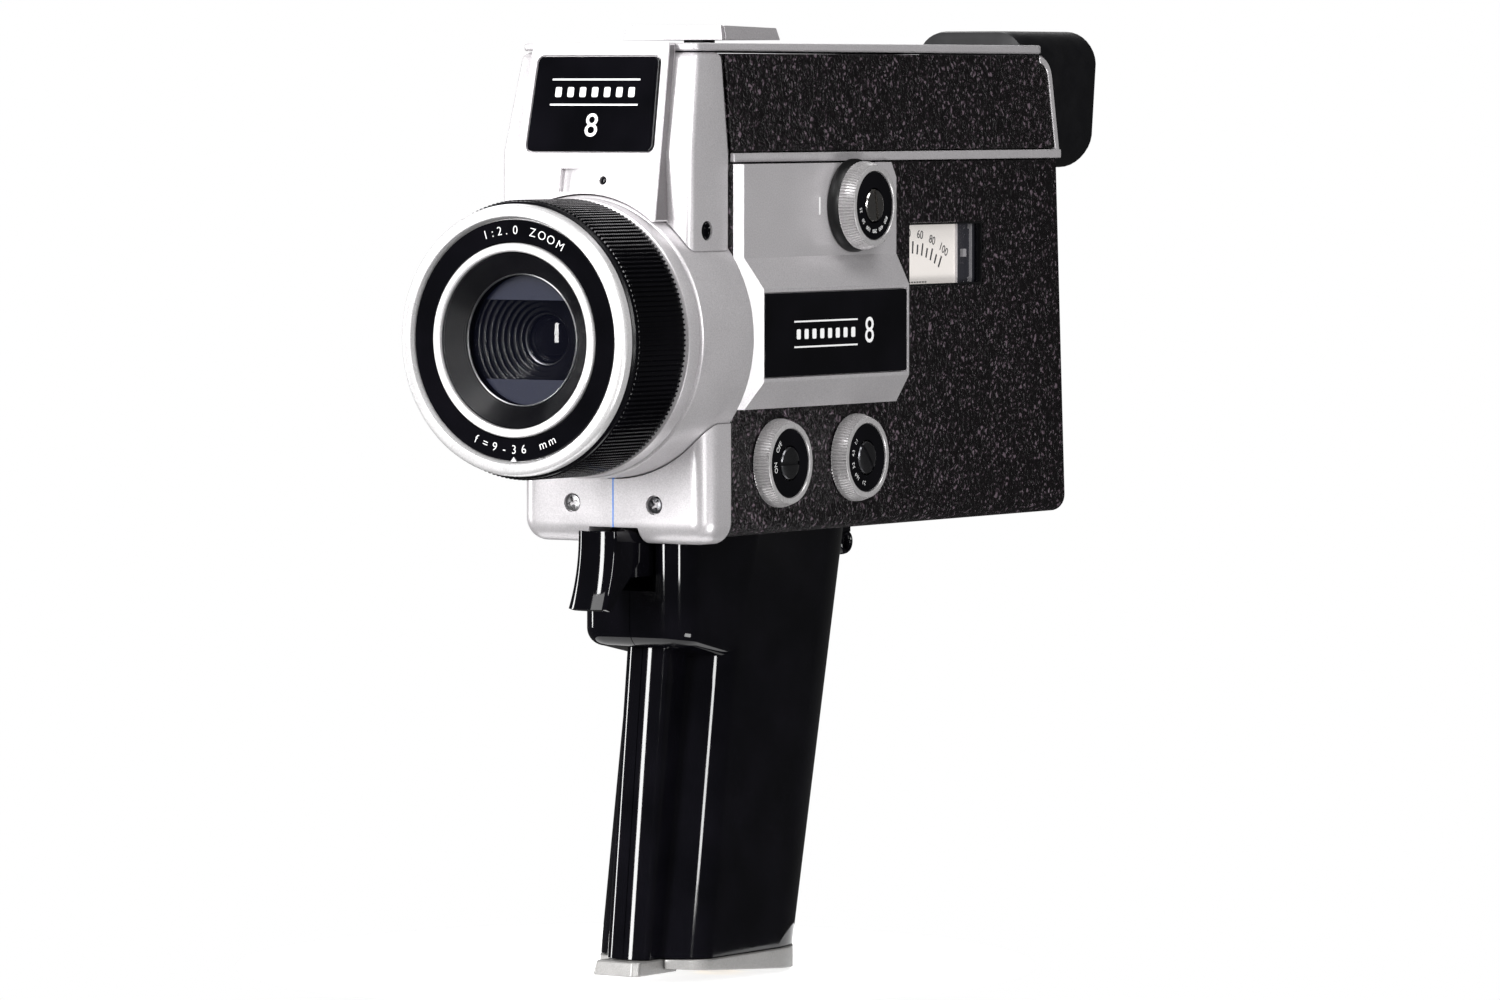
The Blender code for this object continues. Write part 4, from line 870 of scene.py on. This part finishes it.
def meter():
    card = slab(rounded(rect((50, 148), (81, 165.6)), 0.4, 2), "side", 21.7, 0.4)
    piece("scale_card", card, CARD, ["meter_card"])
    parts = []
    for index in range(13):
        tick = slab(rect((-0.27, 26.2), (0.27, 28.4 if index % 2 else 29.0)), "top", 0, 0.04)
        parts.append(put(tick, Matrix.Rotation(math.radians(22 - index * 4.25), 4, "Z")))
    for text, degrees in (("0", -22), ("20", -11), ("40", -1), ("60", 9), ("80", 19), ("100", 29)):
        spin = Matrix.Rotation(-math.radians(degrees), 4, "Z")
        parts.append(put(glyphs(text, 2.7, 0.04), spin @ Matrix.Translation((0, 30.7, 0.02))))
    for index in range(9):
        left = -2.4 + index * 1.15
        parts.append(slab(rect((left, 19.5), (left + 0.7, 19.8)), "top", 0, 0.04))
    face = at((22.12, *NEEDLE_PIVOT[1:])) @ FACING["side"]
    piece("scale_marks", merged(parts), INK, matrix=face)
    bay = merged([block((22.3, 84.4, 152.0), (23.3, 85.2, 163.0)),
                  block((21.6, 86.6, 150.6), (24.4, 87.5, 164.4)),
                  block((21.6, 82.2, 150.6), (23.0, 83.0, 155.0))])
    soften(piece("bay_struts", bay, GLOSS), 0.12, 2)
    edges = merged([block((22.1, 80.9, 150.7), (22.7, 81.2, 164.3)),
                    block((22.2, 86.2, 150.9), (23.2, 86.45, 164.1)),
                    block((22.3, 82.9, 156.6), (23.0, 84.6, 158.4))])
    piece("bay_edges", edges, SILVER)
    outer = rounded(rect((56.55, 150.35), (88.45, 164.65)), 0.45, 4)
    inner = rounded(rect((57.0, 150.8), (88.0, 164.2)), 0.3, 4)
    rim = [[(x, y, z) for x, y in outline]
           for outline, z in ((outer, 0.9), (inner, 0.9), (inner, 0), (outer, 0))]
    piece("window_rim", loft(rim, closed=True), MATTE, matrix=at((23.9, 0, 0)) @ FACING["side"])
    glass = slab(rounded(rect((56.8, 150.6), (88.2, 164.4)), 0.4, 3), "side", 23.4, 0.4)
    piece("window_pane", glass, WINDOW_GLASS, ["meter_window"])
    needle = slab([(-0.7, -2.7), (0.7, -2.7), (0.75, 0), (0.5, 3), (0.14, 27.2), (-0.14, 27.2), (-0.5, 3),
                   (-0.75, 0)], "side", -0.1, 0.2)
    hub = moved(disc(1.3, -0.15, 0.2, 24), AXIS["side"])
    turn = at(NEEDLE_PIVOT) @ Matrix.Rotation(math.radians(22), 4, "X")
    piece("pointer", merged([needle, hub]), MATTE, ["meter_needle"], "needle", turn)


# ---------------------------------------------------------------- top rocker and eyepiece
def rocker():
    low, high, front, rear = 205.7, 208.9, -2.2, 21.5

    def draft(x, y, z):
        """Lean the sides in above the foot, and let the rear end fall away."""
        if z < low + 1:
            return x, y, z
        back, step = (0.8, 0.5) if y > 10 else (-0.3, 0)
        return x - math.copysign(0.55, x), y - back, z - step

    bm = bend(slab(rect((-13, front), (13, rear)), "top", low, high - low), draft)
    obj = piece("zoom_key", bm, SILVER, ["zoom_rocker"], "rocker")
    cut(obj, block((12.0, -1.0, 203), (14, -0.5, 212)))
    soften(obj, 0.4, 3, 30)
    piece("zoom_key_stem", block((-2.6, 6.2, 199.3), (2.6, 10.8, low + 0.6)), MATTE, body="rocker")
    parts = []
    for y, text in ((2.4, "W"), (16.6, "T")):
        level = high - 0.5 * (y - front) / (rear - front) + 0.02
        parts.append(put(glyphs(text, 3.2), Matrix.Translation((0, y, level))
                         @ Matrix.Rotation(math.radians(180), 4, "Z")))
    piece("zoom_key_marks", merged(parts), INK, body="rocker")


def eyecup():
    half, low, high = 14.8, 176.4, 208.3
    front, rear = 123.5, 156.7
    middle = (low + high) / 2

    def loop(half_x, low_z, high_z, radius, depth, curve=0.0):
        points = rounded(rect((-half_x, low_z), (half_x, high_z)), radius, 8)
        return [(x, depth - curve * ((z - middle - 4) ** 2 + 5.2 * (middle - z)), z) for x, z in points]

    def lip(inset, radius, depth, curve=0.0):
        return loop(half - inset, low + inset, high - inset, radius, depth, curve)

    sections = [
        loop(8.6, EYE_Z - 8.6, EYE_Z + 8.6, 8.2, front + 5.6),
        loop(8.6, EYE_Z - 8.6, EYE_Z + 8.6, 8.2, front),
        lip(1.4, 6.2, front),
        lip(0.3, 6.8, front + 0.4),
        lip(0, 7.0, front + 2.0),
        lip(0, 7.2, front + 14),
        lip(0, 7.5, rear - 6, 0.005),
        lip(0, 7.5, rear - 1.0, 0.008),
        lip(0.35, 7.2, rear - 0.25, 0.008),
        lip(1.1, 6.6, rear, 0.008),
        lip(1.9, 6.0, rear - 0.4, 0.008),
        lip(2.4, 5.6, rear - 2.0, 0.007),
        lip(4.2, 5.2, front + 12),
        loop(9.2, EYE_Z - 9.0, EYE_Z + 9.0, 7.0, front + 5.6),
    ]
    piece("eye_cup", loft(sections, closed=True), RUBBER, ["eyecup"], angle=50)
    eye = at((0, 0, EYE_Z), "rear")
    tube = lathe([(8.0, 108), (8.0, 126.6), (7.7, 127), (6.9, 127), (6.6, 126.6), (6.6, 108)], 64)
    piece("eye_tube", tube, MATTE, ["eyepiece_tube"], matrix=eye)
    crown = [(0, 124.6), (2, 124.5), (4, 124.2), (6.3, 123.2), (6.3, 121.6), (0, 121.6)]
    piece("eye_lens", lathe(crown, 64, closed=False), LENS_BLACK, ["eyepiece_lens"], matrix=eye)


# ---------------------------------------------------------------- grip
def grip_loop(z):
    rise = z - GRIP_FOOT
    rib_front, main_front, rear = -22.3 + 0.118 * rise, -16.0 + 0.164 * rise, grip_rear(z)
    wide, rib = grip_half(z), 5.5
    right = []
    for step in range(1, 11):
        angle = math.radians(9 * step)
        right.append((rib * math.sin(angle), rib_front + 2.6 * (1 - math.cos(angle))))
    for share in (0.5, 1.0):
        right.append((rib, rib_front + 2.6 + share * (main_front + 0.3 - rib_front - 2.6)))
    slant = math.radians(22)
    for step in range(1, 15):
        angle = slant + (math.pi / 2 - slant) * step / 14
        reach = (math.sin(angle) - math.sin(slant)) / (1 - math.sin(slant))
        drop = (math.cos(slant) - math.cos(angle)) / math.cos(slant)
        right.append((rib + (wide - rib) * reach, main_front + 0.3 + 7.7 * drop))
    for step in range(1, 16):
        angle = math.radians(90 * step / 16)
        right.append((wide * math.cos(angle) ** 0.8, rear - 18 + 18 * math.sin(angle)))
    outline = [(0, rib_front)] + right + [(0, rear)] + [(-x, y) for x, y in reversed(right)]
    return [(x, y, z) for x, y in outline]


def trigger_block():
    outline = rounded(rect((-GRIP_HALF, -19.5), (GRIP_HALF, 16)), 6.6, 8)
    bm = slab(outline, "top", 72, 38)

    def shape(x, y, z):
        if z < 80:
            z -= 0.13 * (y + 15)
        if y > 5:
            y -= (96.4 - z) * 0.28
        flush = grip_half(z) + 0.1
        if y > -9:
            x = max(-flush, min(flush, x))
        return x, y, z

    return bend(bm, shape)


def rounded_block():
    """The trigger block with its lower edge rounded, as a bmesh."""
    obj = piece("block_draft", trigger_block(), GLOSS)
    bevel(obj, 6.5, 10, 60)
    settle(obj)
    bm = bmesh.new()
    bm.from_mesh(obj.data)
    bmesh.ops.scale(bm, vec=(1000, 1000, 1000), verts=bm.verts)
    bpy.data.objects.remove(obj, do_unlink=True)
    return bm


def grip():
    heights = [GRIP_FOOT, 20, 40, 60, 80, 100]
    for side, sign in SIDES:
        obj = piece(f"grip_{side}", loft([grip_loop(z) for z in heights]), GRIP_GLOSS,
                    [f"grip_shell_{side}"])
        cut(obj, rounded_block(), operation="UNION")
        edges = sorted((sign * 0.1, -sign * 60))
        away = block((edges[0], -80, -20), (edges[1], 120, 160))
        top = block((-40, -60, 96.4), (40, 80, 130))
        step = block((-40, -60, 95.1), (40, BODY_FRONT + GAP, 130))
        slot = block((-6.9, -40, 84.6), (6.9, -4.0, 105))
        cut(obj, away, top, step, slot, angle=30)
    section = [(x, y) for x, y, _ in grip_loop(GRIP_FOOT)]
    points = [(-5.9, -9.5), (-5.9, -25.2), (-5.3, -25.8), (4.6, -25.8), (5.9, -24.6), (5.9, -9.5)]
    front = slab(points, "top", 0, 3.2)
    bend(front, lambda x, y, z: (x * 0.94, y + 0.9, z) if z > 1 and y < -20 else (x, y, z))
    # The toe cap takes the darker copy of the silver paint: painted shade.
    soften(piece("base_toe", front, SHADED_CAP_SILVER, ["base_cap_front"]), 0.4, 4)
    points = [(x * 1.012, y) for x, y in section if (y > -15.75 and abs(x) > 5.6) or y > 0]
    rear = slab(points, "top", 0, 3.2)
    bend(rear, lambda x, y, z: (x, y, z if z > 1 else -0.07 * y))
    # The heel cap takes the darker copy of the silver paint: painted shade.
    obj = piece("base_heel", rear, SHADED_CAP_SILVER, ["base_cap_rear"])
    cut(obj, block((-6.2, -30, -3), (6.2, -9.2, 6)), moved(disc(5.3, -4, 8), at(TRIPOD)))
    soften(obj, 0.45, 3, 40)
    thread = [(3.25 + 0.25 * (i % 2), -0.5 + i * 0.4) for i in range(21)]
    bush = lathe([(5.0, 8.0), (5.0, -1.0), (4.8, -1.12), (3.5, -1.12), (3.25, -0.8), *thread], 64)
    piece("tripod_thread", bush, BRASS, ["tripod_bush"], matrix=at(TRIPOD))


def trigger():
    arc_r = 34.0
    top, low = Vector((-33.5, 98.3)), Vector((-37.4, 81.4))
    chord = low - top
    normal = Vector((-chord.y, chord.x)).normalized()
    if normal.x > 0:
        normal.negate()
    centre = (top + low) / 2 + normal * math.sqrt(arc_r ** 2 - (chord.length / 2) ** 2)
    start = math.atan2(top.y - centre.y, top.x - centre.x)
    end = math.atan2(low.y - centre.y, low.x - centre.x)
    face = [(centre.x + arc_r * math.cos(start + (end - start) * i / 16),
             centre.y + arc_r * math.sin(start + (end - start) * i / 16)) for i in range(17)]
    back = [(-35.4, 80.9), (-31.0, 84.6), (-26.5, 88.0), (-9.5, 88.0), (-9.5, 94.6), (-19.0, 94.6),
            (-19.0, 96.0), (-26.4, 98.3)]
    levels = []
    for step in range(-8, 9):
        turn = math.radians(11.25 * step)
        crown = 1.7 * (1 - math.cos(turn))
        levels.append([(5.05 * math.sin(turn), y + crown, z) for y, z in face]
                      + [(5.05 * math.sin(turn), y + (crown if y < -34 else 0), z) for y, z in back])
    obj = piece("trigger_blade", loft(levels), GRIP_GLOSS, ["trigger"], "trigger_body")
    cut(obj, moved(disc(2.3, 0, 8, 32), at((0, -13.5, 91.3), "rear")))


def strap_lug():
    y, z = 67.1, 91.6
    eye = lathe([(3.0 - 0.9 + 0.9 * math.cos(t), 0.0 + 1.9 * math.sin(t))
                 for t in (math.radians(22.5 * i) for i in range(16))], 48)
    bm = merged([moved(eye, at((0, y, z), "side")), block((-1.7, y - 1.6, z + 2.2), (1.7, y + 1.6, 96.5))])
    piece("strap_eye", bm, GLOSS, ["strap_lug"])


def far_side():
    """Screws that hold the shells together, on the side away from the dials, and the back plate's."""
    for index, (y, z) in enumerate(((-10, 103), (116, 103), (-10, 171), (114, 171), (52, 103))):
        seat = lathe([(2.6, 0.0), (2.6, 0.12), (2.3, 0.16), (2.1, 0.0)], 40)
        piece(f"screw_seat_{index}", seat, MATTE, matrix=at((0.05 - BODY_HALF, y, z), "left"))
        cross_screw(f"shell_screw_{index}", (-BODY_HALF, y, z), "left", 2.0, 0.35, index * 23)
    for index, (y, z) in enumerate(((24, 16), (34, 60))):
        cross_screw(f"grip_screw_{index}", (-14.15, y, z), "left", 1.9, 0.25, index * 31)
    for index, (x, z) in enumerate(((-16.6, 183), (16.6, 183), (-16.6, 199.5), (16.6, 199.5))):
        cross_screw(f"back_screw_{index}", (x, rear_at(z) + 1.0, z), "rear", 1.3, 0.4, index * 17)


def dress_frame():
    """Materials for the solids that stay in view."""
    plain = (SILVER, GLOSS, MATTE, KNURL, LEATHER, RUBBER, LENS_BLACK, CHROME, STEEL, BRASS, CARD, BOARD,
             CELL)
    by_slot = {material.slot: material for material in plain}
    by_slot["silver_knurled"] = BRIGHT
    slots = {row["node"]: row["material_slot"] for row in frame["record"]["subparts"]}
    for name, obj in frame["nodes"].items():
        obj.data.materials.clear()
        obj.data.materials.append(by_slot[slots[name]].mat)


# ---------------------------------------------------------------- stage, lights and camera
def area(name, place, target, width, height, power):
    light = bpy.data.lights.new(name, "AREA")
    light.shape = "RECTANGLE"
    light.size = width
    light.size_y = height
    light.energy = power
    obj = linked(name, light)
    obj.location = place
    obj.rotation_euler = (Vector(target) - place).to_track_quat("-Z", "Y").to_euler()


def around(azimuth, elevation, distance, centre=(0, 0.03, 0.1)):
    """A point seen from the centre; azimuth 0 is in front of the lens, + towards the dials."""
    a, e = math.radians(azimuth), math.radians(elevation)
    out = Vector((math.sin(a) * math.cos(e), -math.cos(a) * math.cos(e), math.sin(e)))
    return Vector(centre) + distance * out


def studio():
    scene = bpy.context.scene
    scene.view_settings.view_transform = "Standard"
    scene.view_settings.look = "None"
    world = bpy.data.worlds.new("studio")
    scene.world = world
    world.use_nodes = True
    tree = world.node_tree
    back = tree.nodes["Background"]
    back.inputs["Color"].default_value = (1, 1, 1, 1)
    path = tree.nodes.new("ShaderNodeLightPath")
    level = tree.nodes.new("ShaderNodeMapRange")
    level.inputs["To Min"].default_value = 0.05
    level.inputs["To Max"].default_value = 1.0
    tree.links.new(path.outputs["Is Camera Ray"], level.inputs["Value"])
    tree.links.new(level.outputs["Result"], back.inputs["Strength"])

    floor = linked("floor", mesh_from(lathe([(0, 0), (50, 0), (90, 0)], closed=False), "floor"))
    floor.location = (-0.025, 0.02, CAD_BOX[0][2] - 0.0002)
    pale = Shader("pale_floor", "", (0.92, 0.92, 0.92), 0.9, 0.0, 0.0)
    pale.glow((1, 1, 1), 0.7)
    pale.colors(pale.noise(60.0), (0.3, (0.90, 0.90, 0.90)), (0.7, (0.93, 0.93, 0.93)))
    floor.data.materials.append(pale.mat)

    centre = (0, 0.03, 0.11)
    area("front_strip", around(-14, 14, 1.3), centre, 0.2, 0.9, 22)
    area("side_strip", around(46, 17, 1.35), centre, 0.13, 0.55, 7)
    area("block_strip", around(46, -4, 1.3), centre, 0.13, 0.07, 1.1)
    area("front_soft", around(-8, 44, 1.2), (0, 0, 0.15), 0.7, 0.45, 6.5)
    area("side_soft", around(75, 58, 1.2), (0, 0.05, 0.15), 0.6, 0.5, 5.5)
    area("low_fill", around(80, -26, 1.2), (0.02, 0.02, 0.13), 0.5, 0.4, 8)
    area("left_strip", around(-74, 12, 1.3), centre, 0.12, 0.9, 8)
    area("back_left", around(-140, 35, 1.4), centre, 0.8, 0.8, 5)

    view = bpy.data.cameras.new("camera")
    view.sensor_width = 36
    view.lens = 202.8
    view.clip_start = 0.05
    camera = linked("camera", view)
    look = Vector((0, 29.15, 102.6)) * MM
    camera.location = around(33.0, 2.8, 1.8989, look)
    camera.rotation_euler = (look - camera.location).to_track_quat("-Z", "Y").to_euler()
    scene.camera = camera


dress_frame()
body_shells()
upper_skins()
top_cover()
front_housing()
front_panel()
lower_cover()
lens()
side_cover()
knobs()
meter()
rocker()
eyecup()
grip()
trigger()
strap_lug()
far_side()
studio()
